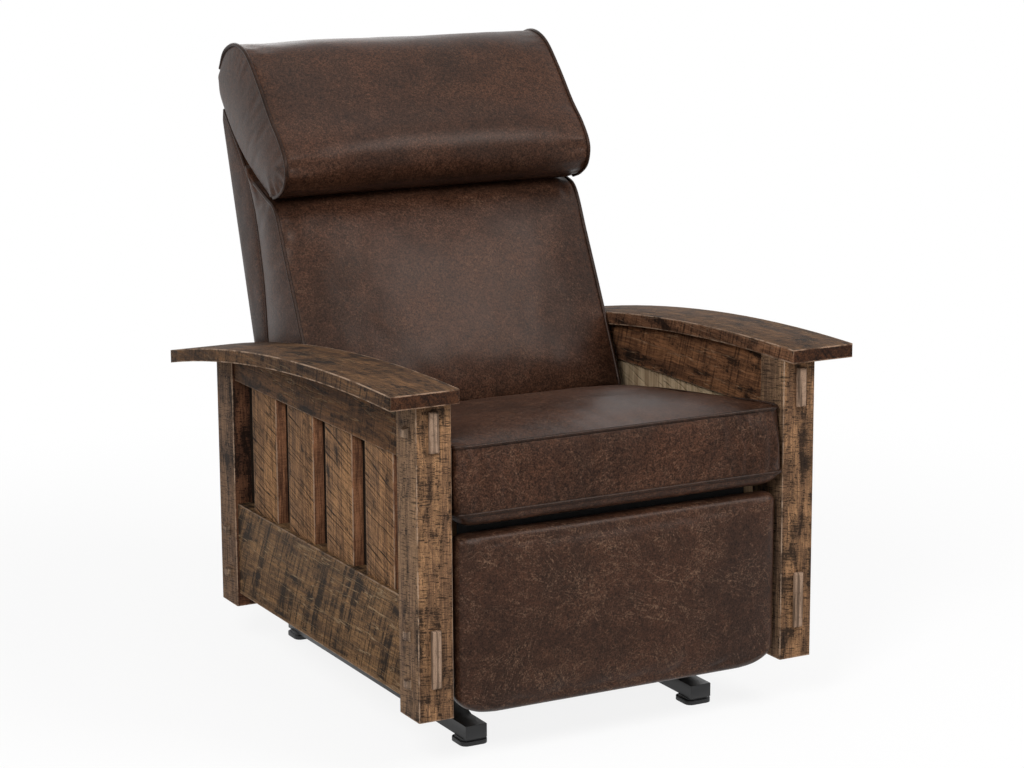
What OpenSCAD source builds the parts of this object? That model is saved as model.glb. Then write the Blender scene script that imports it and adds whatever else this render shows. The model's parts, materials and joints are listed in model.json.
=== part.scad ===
// Rocker recliner with open wooden side frames and leather cushions.
// Millimetres, +Z up, floor at zero, the sitter faces -Y. Left and right are the sitter's own.
// Depth y is counted from the front face of the front legs, and in_place() centres the whole chair.

/* [Side frames] */
// Clear width between the two side frames
leg_gap = 626.8; // [600:1:700]
// Depth from the front face of the front legs to the rear face of the rear legs
frame_depth = 825; // [780:1:880]
// Height of the leg ends above the floor
leg_lift = 95; // [80:1:120]
// Width of a leg, across the chair
leg_w = 63; // [50:1:75]
// Depth of a leg, along the chair
leg_d = 72; // [55:1:80]
// Rounding of the long edges of the legs
leg_round = 3; // [1:0.5:6]

/* [Arms] */
// Height of the arm's crest above the floor
arm_crest_z = 643; // [610:1:690]
// Depth at which the arm is highest
arm_crest_y = 60; // [20:5:150]
// Radius of the arm's curved top
arm_radius = 4100; // [3000:50:9000]
// Width of an arm board
arm_w = 122; // [90:1:150]
// Thickness of an arm board
arm_thick = 23; // [18:1:35]
// Arm board in front of the front leg
arm_front = 29; // [10:1:60]
// Arm board behind the rear leg
arm_rear = 83; // [40:1:110]
// Distance that the arm board stands inside the leg's inner face
arm_inset = 1.4; // [0:0.1:3]
// Rounding of the arm board's corners, seen from above
arm_round = 5; // [2:1:15]

/* [Side rails] */
// Thickness of the rails across the chair
rail_thick = 41; // [30:1:48]
// Distance of the rail's outer face inside the leg's outer face
rail_inset = 5.4; // [2:0.2:8]
// Height of the lower rail
lower_rail_h = 169; // [120:1:200]
// Lower rail's lower edge above the leg ends
lower_rail_lift = 25; // [15:1:40]
// Height of the upper rail's lower edge above the floor
upper_rail_z = 519; // [490:1:535]
// Thickness of the through tenons
tenon_thick = 16; // [15:1:26]
// Distance of the tenons inwards from the middle of the rails
tenon_shift = 4; // [0:1:6]
// Height of the lower through tenon
lower_tenon_h = 96; // [60:1:120]
// Height of the upper through tenon
upper_tenon_h = 67; // [40:1:80]
// Tenon end in front of the front leg
tenon_out = 10; // [5:1:20]
// Bevel on the tenon end
tenon_bevel = 3; // [1:0.5:5]
// Depth of the blind tenons in the rear legs
rear_tenon = 40; // [25:1:50]

/* [Slats] */
// Number of slats in a side
slat_count = 4; // [2:1:5]
// Width of a slat along the chair
slat_w = 106; // [60:1:115]
// Thickness of a slat
slat_thick = 20; // [12:1:30]
// Gap between two slats
slat_gap = 52; // [30:1:60]
// Distance of the first slat behind the front leg
slat_start = 39; // [20:1:60]
// Distance of the slats' outer face inside the rail's outer face
slat_inset = 7.5; // [4:0.5:12]
// Depth of the slat ends in the rails' grooves
slat_seat = 10; // [6:1:14]
// Thickness of the thin board behind the slats
backer_t = 6; // [4:1:8]

/* [Pegs] */
// Side of a square peg head
peg_side = 20; // [14:1:26]
// Height of a peg head
peg_h = 8; // [3:0.5:10]
// Side of the square peg shank
peg_shank = 11; // [8:1:13]
// Depth of the shank in the leg
peg_depth = 18; // [10:1:30]
// Distance of the pegs behind the leg's front face
peg_y = 35; // [25:1:50]

/* [Base] */
// Half of the distance between the base rails' centre lines
base_x = 220; // [200:1:240]
// Depth of the front feet's centres
foot_front_y = 130; // [120:1:180]
// Depth of the rear feet's centres
foot_rear_y = 812; // [760:1:820]
// Width of a base rail
base_rail_w = 40; // [32:1:46]
// Height of the rail top, on which the rocker cams roll
track_z = 60; // [50:1:65]
// Height of the rail's low ends
rail_end_z = 36; // [30:1:44]
// Sheet thickness of the base steel
base_sheet = 2.5; // [2:0.5:4]
// Side of a foot glide
glide_side = 50; // [44:1:70]
// Height of a foot glide
glide_h = 12; // [8:1:14]
// Height of the base crossbars
base_bar_h = 20; // [16:1:26]
// Depth of the base crossbars along the chair
base_bar_d = 40; // [25:1:50]

/* [Rocker] */
// Radius of the rocker cams, whose centre is the rocking axis
cam_radius = 300; // [280:1:330]
// Thickness of a rocker cam
cam_thick = 26; // [20:1:32]
// Height of the cams' flat top above the track
cam_h = 65; // [55:1:75]
// Depth of the rocking axis
rock_y = 476; // [440:1:500]
// Running gap between the cams and their track
cam_gap = 0.3; // [0.2:0.1:1]
// Distance of the rocker springs in front of and behind the axis
spring_reach = 125; // [90:1:140]
// Outer radius of a rocker spring
spring_r = 17; // [14:0.5:20]
// Wire diameter of a rocker spring
spring_wire = 4.5; // [3:0.5:6]
// Curls in a rocker spring
spring_turns = 6; // [4:1:7]
// Distance of the springs inside the base rails' centre lines
spring_inset = 41; // [36:1:50]

/* [Steel plates] */
// Thickness of the mechanism's plates
plate_t = 3; // [2:0.5:4]
// Running gap between neighbouring plates
plate_gap = 0.5; // [0.3:0.1:1]
// Radius of the pivot studs
stud_r = 5; // [4:0.5:7]
// Radius of the stud heads
head_r = 8.5; // [7:0.5:10]
// Thickness of the stud heads
head_t = 2.5; // [1.5:0.5:4]
// Radial clearance of a stud in its hole
fit = 0.06; // [0.03:0.01:0.1]
// Half of the width of the link bars
bar_half = 11; // [9:0.5:13]
// Thickness of the side plates on the wooden rails
frame_plate_t = 4; // [3:0.5:5]
// Side of the square cross tubes
tube_side = 25; // [20:1:30]

/* [Seat] */
// Gap between the seat cushion and the legs, each side
seat_side_gap = 7.4; // [4:0.2:12]
// Room for the links between the seat box and the legs, each side
link_room = 30.4; // [26:0.2:36]
// Depth of the seat box's front face
box_y = 45; // [40:1:60]
// Depth of the seat box, front to rear
box_d = 595; // [560:1:610]
// Height of the seat box's lower edge
box_z = 300; // [290:1:320]
// Height of the seat box's boards
box_h = 121; // [100:1:130]
// Thickness of the seat box's boards
board_t = 18; // [15:1:22]
// Height of the seat cushion's front edge above the seat box
seat_edge_h = 115; // [90:1:140]
// Fall of the seat's top edge from front to rear
seat_fall = 60; // [40:1:70]
// Crown of the seat cushion above its edge piping
seat_crown = 20; // [8:1:30]
// Depth of the seat cushion, front to rear
cushion_d = 565; // [520:1:570]
// Front face of the seat cushion behind the front legs' front face, at the top edge
cushion_y = -1; // [-8:1:20]

/* [Footrest] */
// Footrest width beyond the seat box, each side
footrest_side = 21; // [8:1:24]
// Height of the footrest's lower edge
footrest_z = 89; // [80:1:130]
// Height of the footrest panel
footrest_h = 304; // [240:1:320]
// Depth of the footrest panel's front at its crown
footrest_y = -3; // [-8:1:8]
// Thickness of the pad at its crown
pad_t = 22; // [16:1:26]
// Thickness of the footrest's board
footrest_board_t = 14; // [12:1:16]
// Rounding of the footrest's lower corners
footrest_round = 50; // [30:5:90]

/* [Footrest links] */
// Length of the parallel links
link_len = 255; // [235:1:265]
// Lean of the parallel links at rest, rearwards from straight down
link_lean = 28; // [22:1:32]
// Depth of the first link pivot behind the seat box's front face
pivot_y = 85; // [75:1:95]
// Depth of the first link pivot below the seat box's top
pivot_drop = 20; // [16:1:26]
// Distance between the two link pivots along the chair
pivot_step_y = 50; // [46:1:56]
// Fall from the first link pivot to the second
pivot_step_z = 20; // [16:1:24]
// Distance of the control link from the carrier link along the second parallel link
control_step = 60; // [54:1:66]
// Depth of the footrest's lower pivot behind the footrest board
hinge_back = 52; // [42:1:60]
// Height of the footrest's lower pivot above the footrest's lower edge
hinge_up = 183; // [150:1:200]
// Distance of the torque tube along the first parallel link
torque_at = 205; // [190:1:212]

/* [Seat tilt] */
// Depth of the tilting pivot from the front legs' front face
tilt_y = 600; // [580:1:610]
// Height of the tilting pivot
tilt_z = 265; // [255:1:272]
// Radius of the tilting stud
tilt_r = 8; // [6:0.5:9]
// Depth of the lift links' lower pivot
lift_y = 400; // [390:1:420]
// Height of the lift links' lower pivot
lift_z = 215; // [205:1:222]
// Length of a lift link
lift_len = 95; // [88:1:100]
// Rise of the lift links at rest, from level
lift_rise = 25; // [20:1:28]
// Clearance of the lift stud in its slot
slot_fit = 0.6; // [0.5:0.1:1]
// Travel of the lift stud along its slot
slot_travel = 21; // [20:1:26]

/* [Back] */
// Lean of the back's rear face from upright
back_lean = 17.4; // [14:0.1:22]
// Distance of the back's rear face behind the seat box, at the foot of the back
back_behind = 119; // [110:1:130]
// Height of the foot of the back
back_foot_z = 360; // [350:1:370]
// Distance of the recline pivot behind the seat box
recline_behind = 60; // [50:1:68]
// Height of the recline pivot
recline_z = 350; // [342:1:356]
// Gap between the back's sides and the arms
back_side_gap = 7; // [5:0.5:12]
// Thickness of the padded outer back
shell_t = 15; // [12:1:20]
// Thickness of the padded side walls of the back
wall_t = 22; // [18:1:24]
// Depth of the side walls of the back at their widest
wall_d = 100; // [80:1:115]
// Thickness of the lumbar cushion above the seat
lumbar_low_t = 196; // [180:1:210]
// Thickness of the lumbar cushion at its top
lumbar_high_t = 136; // [120:1:150]
// Top of the lumbar cushion's front edge, along the back
lumbar_up = 441; // [420:1:450]
// Front of the headrest's roll, from the back's rear face
headrest_front = 280; // [260:1:300]
// Thickness of the headrest behind the head
headrest_t = 182; // [150:1:200]
// Top of the headrest, along the back
headrest_top = 754; // [730:1:780]
// Height of the back posts above the lumbar cushion, along the back
post_over = 134; // [100:1:140]
// Depth of the back posts, front to rear
post_d = 45; // [35:1:50]
// Width of the back posts, across the chair
post_w = 22; // [18:1:26]
// Height of the back's cross rails
cross_h = 60; // [45:1:75]
// Thickness of the back's cross rails
cross_t = 22; // [18:1:26]
// Width of a webbing strap
strap_w = 50; // [40:1:60]
// Thickness of a webbing strap
strap_t = 2; // [1.5:0.5:3]

/* [Hidden] */
half_gap = leg_gap / 2;
leg_outer = half_gap + leg_w;
arm_end_y = frame_depth + arm_rear;
arm_centre_z = arm_crest_z - arm_radius;
rail_outer = leg_outer - rail_inset;
rail_inner = rail_outer - rail_thick;
slat_x = rail_outer - slat_inset - slat_thick;
backer_gap = 0.3;
tenon_x = rail_outer - (rail_thick + tenon_thick) / 2 - tenon_shift;
lower_z = leg_lift + lower_rail_lift;
lower_top = lower_z + lower_rail_h;
lower_tenon_z = lower_z + 31;
upper_tenon_z = upper_rail_z + 19;
rear_tenon_z = upper_rail_z + 6;
rear_tenon_h = 24;
peg_rows = [lower_tenon_z + 2, lower_tenon_z + lower_tenon_h - 13];
upper_peg_z = upper_tenon_z + 29;
rear_leg_y = frame_depth - leg_d;

rock_z = track_z + cam_radius;
cam_top = track_z + cam_h;
tube_rows = [rock_y - 135, rock_y + 125];
crossbar_rows = [foot_front_y + 150, foot_rear_y - 70];
crossbar_z = glide_h + 2;
rail_toe = 26;
spring_x = base_x - spring_inset;
spring_rows = [rock_y - spring_reach, rock_y + spring_reach];
spring_low = glide_h + 22;
spring_high = cam_top - 15;

frame_plate_x = rail_inner - frame_plate_t;
frame_plate_y = leg_d + 24;
frame_plate_d = rear_leg_y - leg_d - 48;
frame_plate_h = lower_rail_h - 9;
bolt_r = 4;
bolt_depth = 30;
bolt_head_r = 8;
bolt_head_t = 4;
plate_bolts = [for (y = [frame_plate_y + 30, frame_plate_y + frame_plate_d - 30],
    z = [lower_z + 40, lower_z + 125]) [y, z]];
box_half = half_gap - link_room;
box_top = box_z + box_h;
seat_half = half_gap - seat_side_gap;
seat_bottom = box_top + strap_t + 0.3;
plate_x = box_half;
link_x = plate_x + plate_t + plate_gap;
carrier_x = link_x + plate_t + plate_gap;

board_front = footrest_y + pad_t;
board_back = board_front + footrest_board_t;
footrest_half = box_half + footrest_side;
board_half = footrest_half - 10;
rest_dir = [sin(link_lean), -cos(link_lean)];
pivot_a = [box_y + pivot_y, box_top - pivot_drop];
pivot_b = pivot_a + [pivot_step_y, -pivot_step_z];
joint_a = pivot_a + link_len * rest_dir;
joint_b = pivot_b + link_len * rest_dir;
joint_e = joint_b - control_step * rest_dir;
hinge_low = [board_back + plate_t + hinge_back, footrest_z + hinge_up];
hinge_high = hinge_low - control_step * rest_dir;
torque_p = pivot_a + torque_at * rest_dir;
torque_side = 14;

tilt_p = [tilt_y, tilt_z];
tilt_boss_x = plate_x + plate_t + plate_gap;
lift_p = [lift_y, lift_z];
lift_tip = lift_p + lift_len * [-cos(lift_rise), sin(lift_rise)];
lift_x = carrier_x;
recline_p = [box_y + box_d + recline_behind, recline_z];
back_foot_y = box_y + box_d + back_behind;
bracket_x = plate_x - plate_gap - plate_t;
back_half = half_gap - arm_inset - back_side_gap;
post_x = bracket_x - post_w;
wall_x = back_half - wall_t;
post_start = 60;
post_len = lumbar_up + post_over - post_start;
shell_start = 40;
shell_top = 655;
shell_round = 18;
back_rear_y = back_foot_y + (shell_top - shell_round) * sin(back_lean)
    + shell_round * (1 - cos(back_lean));
centre_y = (back_rear_y - arm_front) / 2;

// Shared shapes

module in_place() {
    translate([0, -centre_y, 0]) children();
}

module other_side() {
    mirror([1, 0, 0]) children();
}

// A flat outline in depth and height, given thickness across the chair
module across(x, t) {
    translate([x, 0, 0]) rotate([90, 0, 90]) linear_extrude(t) children();
}

module disc(p, r) {
    translate(p) circle(r, $fn = 48);
}

// A bar with round ends between two points of a plate
module bar(p, q, half) {
    step = q - p;
    side = half * [-step[1], step[0]] / norm(step);
    disc(p, half);
    disc(q, half);
    polygon([p + side, p - side, q - side, q + side]);
}

// A stud across the chair with a head on its outer end
module stud(p, x, reach, r, head) {
    across(x, reach) disc(p, r);
    across(x + reach, head_t) disc(p, head);
}

function corner(cx, cy, r, from) =
    [for (i = [0 : 4]) [cx + r * cos(from + 22.5 * i), cy + r * sin(from + 22.5 * i)]];

// A rectangle from its low corner, with rounded corners
function round_rect(x, y, w, d, r) = concat(
    corner(x + w - r, y + d - r, r, 0),
    corner(x + r, y + d - r, r, 90),
    corner(x + r, y + r, r, 180),
    corner(x + w - r, y + r, r, 270));

// A smooth closed curve through a few points
function blend4(a, b, c, d, t) =
    0.5 * ((2 * b) + (c - a) * t + (2 * a - 5 * b + 4 * c - d) * t * t
    + (3 * b - a - 3 * c + d) * t * t * t);
function smooth(p, steps) = [for (i = [0 : len(p) - 1], s = [0 : steps - 1])
    blend4(p[(i + len(p) - 1) % len(p)], p[i], p[(i + 1) % len(p)], p[(i + 2) % len(p)], s / steps)];
function swell(p, anchor, k) = [for (q = p)
    [anchor[0] + (q[0] - anchor[0]) * k[0], anchor[1] + (q[1] - anchor[1]) * k[1]]];

// A closed skin over outlines that stand one beside the other across the chair
module loft(xs, outlines) {
    n = len(outlines[0]);
    m = len(xs);
    points = concat([for (i = [0 : m - 1]) for (q = outlines[i]) [xs[i], q[0], q[1]]],
        [for (i = [0, m - 1]) let (c = [for (q = outlines[i]) 1] * outlines[i] / n)
            [xs[i], c[0], c[1]]]);
    sides = [for (i = [0 : m - 2], j = [0 : n - 1])
        each [[i * n + j, i * n + (j + 1) % n, (i + 1) * n + j],
            [(i + 1) * n + j, i * n + (j + 1) % n, (i + 1) * n + (j + 1) % n]]];
    caps = [for (j = [0 : n - 1])
        each [[m * n, (j + 1) % n, j], [m * n + 1, (m - 1) * n + j, (m - 1) * n + (j + 1) % n]]];
    polyhedron(points, concat(sides, caps));
}

// Stations across a cushion: the ends are drawn in and the middle swells
function stations(half, n) = [for (i = [-n : n]) half * sin(90 * i / n)];
function fullness(x, half) = 1 - pow(abs(x / half), 4);

// Side frames

module leg_blank(y) {
    translate([0, 0, leg_lift])
        linear_extrude(arm_crest_z - leg_lift)
            polygon(round_rect(half_gap, y, leg_w, leg_d, leg_round));
}

// Everything under the arm board's curved underside
module under_arm() {
    translate([0, arm_crest_y, arm_centre_z])
        rotate([0, 90, 0])
            cylinder(h = leg_outer + 10, r = arm_radius - arm_thick, $fn = 720);
}

module tenon(y, d, z, h) {
    translate([tenon_x, y, z]) cube([tenon_thick, d, h]);
}

module peg_hole(y, z) {
    translate([leg_outer - peg_depth, y - peg_shank / 2, z - peg_shank / 2])
        cube([peg_depth + 1, peg_shank, peg_shank]);
}

module front_leg() {
    difference() {
        intersection() {
            leg_blank(0);
            under_arm();
        }
        tenon(-1, leg_d + 2, lower_tenon_z, lower_tenon_h);
        tenon(-1, leg_d + 2, upper_tenon_z, upper_tenon_h);
        for (z = concat(peg_rows, [upper_peg_z])) peg_hole(peg_y, z);
    }
}

module rear_leg() {
    difference() {
        intersection() {
            leg_blank(rear_leg_y);
            under_arm();
        }
        tenon(rear_leg_y - 1, rear_tenon + 1, lower_tenon_z, lower_tenon_h);
        tenon(rear_leg_y - 1, rear_tenon + 1, rear_tenon_z, rear_tenon_h);
        for (z = peg_rows) peg_hole(rear_leg_y + peg_y, z);
    }
}

// A through tenon with a bevelled end in front of the leg
module front_tenon(z, h) {
    b = tenon_bevel;
    x0 = tenon_x;
    x1 = tenon_x + tenon_thick;
    y = b - tenon_out;
    tenon(y, leg_d - y, z, h);
    polyhedron([
        [x0, y, z], [x1, y, z], [x1, y, z + h], [x0, y, z + h],
        [x0 + b, y - b, z + b], [x1 - b, y - b, z + b],
        [x1 - b, y - b, z + h - b], [x0 + b, y - b, z + h - b]],
        [[0, 1, 2, 3], [7, 6, 5, 4], [4, 5, 1, 0], [5, 6, 2, 1], [6, 7, 3, 2], [7, 4, 0, 3]]);
}

module slat_row(z, h) {
    for (i = [0 : slat_count - 1])
        translate([slat_x, leg_d + slat_start + i * (slat_w + slat_gap), z])
            cube([slat_thick, slat_w, h]);
}

// The thin board stands between the rails and the legs, just behind the slats
module backer() {
    translate([slat_x - backer_gap - backer_t, leg_d + backer_gap, lower_top + backer_gap])
        cube([backer_t, rear_leg_y - leg_d - 2 * backer_gap, upper_rail_z - lower_top - 2 * backer_gap]);
}

module slats() {
    slat_row(lower_top - slat_seat, upper_rail_z - lower_top + 2 * slat_seat);
    backer();
}

module lower_rail() {
    difference() {
        translate([rail_inner, leg_d, lower_z])
            cube([rail_thick, rear_leg_y - leg_d, lower_rail_h]);
        slat_row(lower_top - slat_seat, slat_seat + 1);
        for (p = plate_bolts) across(rail_inner - 1, bolt_depth + 1) disc(p, bolt_r);
    }
    difference() {
        union() {
            front_tenon(lower_tenon_z, lower_tenon_h);
            tenon(rear_leg_y, rear_tenon, lower_tenon_z, lower_tenon_h);
        }
        for (y = [0, rear_leg_y], z = peg_rows) peg_hole(y + peg_y, z);
    }
}

module upper_rail() {
    difference() {
        intersection() {
            translate([rail_inner, leg_d, upper_rail_z])
                cube([rail_thick, rear_leg_y - leg_d, arm_crest_z - upper_rail_z]);
            under_arm();
        }
        slat_row(upper_rail_z - 1, slat_seat + 1);
    }
    difference() {
        front_tenon(upper_tenon_z, upper_tenon_h);
        peg_hole(peg_y, upper_peg_z);
    }
    tenon(rear_leg_y, rear_tenon, rear_tenon_z, rear_tenon_h);
}

module arm_disc(x, w, r) {
    translate([x, arm_crest_y, arm_centre_z]) rotate([0, 90, 0]) cylinder(h = w, r = r, $fn = 720);
}

module arm_board() {
    intersection() {
        translate([0, 0, leg_lift])
            linear_extrude(arm_crest_z)
                polygon(round_rect(half_gap - arm_inset, -arm_front, arm_w,
                    arm_end_y + arm_front, arm_round));
        difference() {
            arm_disc(half_gap - 10, arm_w + 20, arm_radius);
            arm_disc(half_gap - 11, arm_w + 22, arm_radius - arm_thick);
        }
    }
}

module square_peg(y, z) {
    half_peg = peg_side / 2;
    half_shank = peg_shank / 2;
    translate([leg_outer - peg_depth, y - half_shank, z - half_shank])
        cube([peg_depth, peg_shank, peg_shank]);
    translate([leg_outer, y, z])
        rotate([0, 90, 0])
            rotate([0, 0, 45])
                cylinder(h = peg_h, r1 = half_peg * sqrt(2), r2 = half_peg * 0.85, $fn = 4);
}

module pegs() {
    for (z = concat(peg_rows, [upper_peg_z])) square_peg(peg_y, z);
    for (z = peg_rows) square_peg(rear_leg_y + peg_y, z);
}

module bolts() {
    for (p = plate_bolts) {
        across(frame_plate_x - bolt_head_t, bolt_head_t) disc(p, bolt_head_r);
        across(frame_plate_x, frame_plate_t + bolt_depth) disc(p, bolt_r);
    }
}

// Base on the floor

// Side view of a pressed base rail, or of its hollow when w is the sheet's thickness
module base_profile(w) {
    front = foot_front_y - rail_toe + w;
    rear = foot_rear_y + rail_toe - w;
    polygon([
        [front, glide_h], [front, rail_end_z - w], [foot_front_y + 30 + w / 2, rail_end_z - w],
        [foot_front_y + 95 + w / 2, track_z - w], [foot_rear_y - 125 - w / 2, track_z - w],
        [foot_rear_y - 45 - w / 2, rail_end_z - w], [rear, rail_end_z - w], [rear, glide_h]]);
}

module base_rail() {
    x = base_x - base_rail_w / 2;
    difference() {
        across(x, base_rail_w) base_profile(0);
        translate([0, 0, -0.5])
            across(x + base_sheet, base_rail_w - 2 * base_sheet) base_profile(base_sheet);
        across(x + base_sheet, base_rail_w - 2 * base_sheet) base_profile(base_sheet);
    }
}

module base_crossbar(y) {
    x = base_x - base_rail_w / 2;
    translate([-x, y - base_bar_d / 2, crossbar_z])
        difference() {
            cube([2 * x, base_bar_d, base_bar_h]);
            translate([-1, base_sheet, -1])
                cube([2 * x + 2, base_bar_d - 2 * base_sheet, base_bar_h - base_sheet + 1]);
        }
}

// A moulded pad with a plug that fits inside the rail
module glide(y) {
    half_glide = glide_side / 2;
    lip = 4;
    plug_w = base_rail_w - 2 * base_sheet;
    translate([base_x, y, 0]) {
        linear_extrude(glide_h - lip)
            polygon(round_rect(-half_glide, -half_glide, glide_side, glide_side, 12));
        translate([0, 0, glide_h - lip])
            linear_extrude(lip)
                polygon(round_rect(lip - half_glide, lip - half_glide,
                    glide_side - 2 * lip, glide_side - 2 * lip, 9));
        translate([-plug_w / 2, -plug_w / 2, glide_h])
            cube([plug_w, plug_w, rail_end_z - base_sheet - glide_h]);
    }
}

// Rocker cams and their springs

module rocker_cam() {
    across(base_x - cam_thick / 2, cam_thick)
        difference() {
            translate([rock_y, rock_z]) circle(cam_radius - cam_gap, $fn = 360);
            translate([rock_y - 2 * cam_radius, cam_top]) square([4 * cam_radius, 2 * cam_radius]);
        }
}

// An angle bracket that reaches inwards from the face at x to a rocker spring
module spring_bracket(y, z, x, drop) {
    half_bracket = spring_r + 3;
    inner = spring_x - spring_r - 2;
    translate([inner, y - half_bracket, z]) cube([x - inner, 2 * half_bracket, base_sheet]);
    translate([x - base_sheet, y - half_bracket, z - drop])
        cube([base_sheet, 2 * half_bracket, drop + base_sheet]);
}

coil_steps = 8 * (spring_turns + 1);
coil_low = spring_low + spring_wire / 2;
coil_rise = spring_high - spring_low - spring_wire;
// The curls lie flat for half a turn at both ends
function coil_height(i) =
    let (turn = i / 8) min(1, max(0, (turn - 0.5) / spring_turns)) * coil_rise + coil_low;
function coil_point(i) =
    let (r = spring_r - spring_wire / 2) [r * cos(45 * i), r * sin(45 * i), coil_height(i)];
coil_gap = min([for (i = [0 : coil_steps - 8]) norm(coil_point(i + 8) - coil_point(i))]) - spring_wire;
echo(coil_gap = coil_gap);

module coil() {
    rings = [for (i = [0 : coil_steps], k = [0 : 5])
        coil_point(i) + [cos(45 * i) * cos(60 * k), sin(45 * i) * cos(60 * k), sin(60 * k)]
        * spring_wire / 2];
    last = coil_steps * 6;
    sides = [for (i = [0 : coil_steps - 1], k = [0 : 5]) let (a = i * 6 + k, b = i * 6 + (k + 1) % 6)
        each [[a, b, a + 6], [a + 6, b, b + 6]]];
    ends = [for (k = [1 : 4]) each [[0, k + 1, k], [last, last + k, last + k + 1]]];
    polyhedron(rings, concat(sides, ends));
}

// Steel plates and links

module frame_plate() {
    difference() {
        across(frame_plate_x, frame_plate_t)
            polygon(round_rect(frame_plate_y, lower_z, frame_plate_d, frame_plate_h, 10));
        for (p = plate_bolts) across(frame_plate_x - 1, frame_plate_t + 2) disc(p, bolt_r);
    }
    across(tilt_boss_x, frame_plate_x - tilt_boss_x) disc(tilt_p, tilt_r + 4);
    across(plate_x - plate_gap, tilt_boss_x - plate_x + plate_gap) disc(tilt_p, tilt_r);
    across(plate_x - plate_gap - head_t, head_t) disc(tilt_p, tilt_r + 4);
    lift_boss_x = lift_x + plate_t + plate_gap;
    across(lift_boss_x, frame_plate_x - lift_boss_x) disc(lift_p, stud_r + 4);
    across(lift_x - plate_gap, plate_t + 2 * plate_gap) disc(lift_p, stud_r);
    across(lift_x - plate_gap - head_t, head_t) disc(lift_p, head_r);
}

module lift_link() {
    difference() {
        across(lift_x, plate_t) bar(lift_p, lift_tip, bar_half + 1);
        across(lift_x - 1, plate_t + 2) disc(lift_p, stud_r + fit);
    }
    across(plate_x - plate_gap, lift_x - plate_x + plate_gap) disc(lift_tip, stud_r);
    across(plate_x - plate_gap - head_t, head_t) disc(lift_tip, head_r);
}

// Carries the seat box, the footrest links and the back
module seat_plate() {
    low_y = lift_tip[0] - 30;
    low_z = lift_tip[1] - 15;
    difference() {
        across(plate_x, plate_t) {
            polygon(round_rect(box_y + 20, box_z + 18, box_d - 20, box_h - 31, 8));
            polygon(round_rect(low_y, low_z, box_y + box_d - low_y, box_z + 30 - low_z, 12));
            bar([box_y + box_d - 40, recline_z], recline_p, 22);
            disc(pivot_a, 14);
        }
        across(plate_x - 1, plate_t + 2) disc(tilt_p, tilt_r + fit);
        across(plate_x - 1, plate_t + 2)
            bar(lift_tip - [1, 0], lift_tip + [slot_travel, 0], stud_r + slot_fit);
    }
    for (p = [pivot_a, pivot_b]) stud(p, plate_x + plate_t, plate_t + 2 * plate_gap, stud_r, head_r);
    across(bracket_x - plate_gap, plate_x - bracket_x + plate_gap) disc(recline_p, tilt_r);
    across(bracket_x - plate_gap - head_t, head_t) disc(recline_p, tilt_r + 4);
}

module link_stud(p) {
    stud(p, link_x + plate_t, plate_t + 2 * plate_gap, stud_r, head_r);
}

module rear_link() {
    difference() {
        across(link_x, plate_t) bar(pivot_a, joint_a, bar_half);
        across(link_x - 1, plate_t + 2) disc(pivot_a, stud_r + fit);
    }
    link_stud(joint_a);
}

module front_link() {
    difference() {
        across(link_x, plate_t) bar(pivot_b, joint_b, bar_half);
        across(link_x - 1, plate_t + 2) disc(pivot_b, stud_r + fit);
    }
    link_stud(joint_b);
    link_stud(joint_e);
}

module carrier_link() {
    difference() {
        across(carrier_x, plate_t) {
            bar(joint_b, hinge_low, bar_half + 1);
            disc(joint_a, bar_half + 1);
        }
        for (p = [joint_a, joint_b, hinge_low]) across(carrier_x - 1, plate_t + 2) disc(p, stud_r + fit);
    }
}

module control_link() {
    difference() {
        across(carrier_x, plate_t) bar(joint_e, hinge_high, bar_half - 1);
        for (p = [joint_e, hinge_high]) across(carrier_x - 1, plate_t + 2) disc(p, stud_r + fit);
    }
}

module footrest_bracket() {
    foot_z = hinge_low[1] - bar_half;
    foot_h = hinge_high[1] - hinge_low[1] + 2 * bar_half;
    across(link_x, plate_t) {
        bar(hinge_low, hinge_high, bar_half);
        polygon([[board_back, foot_z], [hinge_low[0], foot_z],
            [hinge_high[0], hinge_high[1] + bar_half], [board_back, foot_z + foot_h]]);
    }
    translate([link_x - 40, board_back, foot_z]) cube([40, plate_t, foot_h]);
    link_stud(hinge_low);
    link_stud(hinge_high);
}

module torque_bar() {
    translate([-link_x, torque_p[0], torque_p[1]])
        rotate([link_lean, 0, 0])
            translate([0, -torque_side / 2, -torque_side / 2])
                cube([2 * link_x, torque_side, torque_side]);
}

// Wooden seat box, back posts and the footrest's board

module seat_rail() {
    translate([box_half - board_t, box_y, box_z]) cube([board_t, box_d, box_h]);
}

module cross_rail(y) {
    x = box_half - board_t;
    translate([-x, y, box_z]) cube([2 * x, board_t, box_h]);
}

module webbing() {
    step = (box_d - 2 * board_t - strap_w) / 6;
    for (i = [0 : 6])
        translate([-box_half, box_y + board_t + i * step, box_top])
            cube([2 * box_half, strap_w, strap_t]);
}

module board_outline(half, z, h, r) {
    polygon(concat(corner(-half + r, z + r, r, 180), corner(half - r, z + r, r, 270),
        corner(half - 10, z + h - 10, 10, 0), corner(-half + 10, z + h - 10, 10, 90)));
}

module footrest_panel() {
    inset = footrest_half - board_half;
    translate([0, board_back, 0])
        rotate([90, 0, 0])
            linear_extrude(footrest_board_t)
                board_outline(board_half, footrest_z + inset, footrest_h - 2 * inset,
                    footrest_round - inset);
}

// Measured along the back's rear face, upwards and forwards of its foot
module on_back() {
    translate([0, back_foot_y, back_foot_z]) rotate([-back_lean, 0, 0]) children();
}
function back_point(up, front) = [
    back_foot_y + up * sin(back_lean) - front * cos(back_lean),
    back_foot_z + up * cos(back_lean) + front * sin(back_lean)];

module back_post() {
    on_back() translate([post_x, -shell_t - post_d, post_start]) cube([post_w, post_d, post_len]);
}

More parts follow.
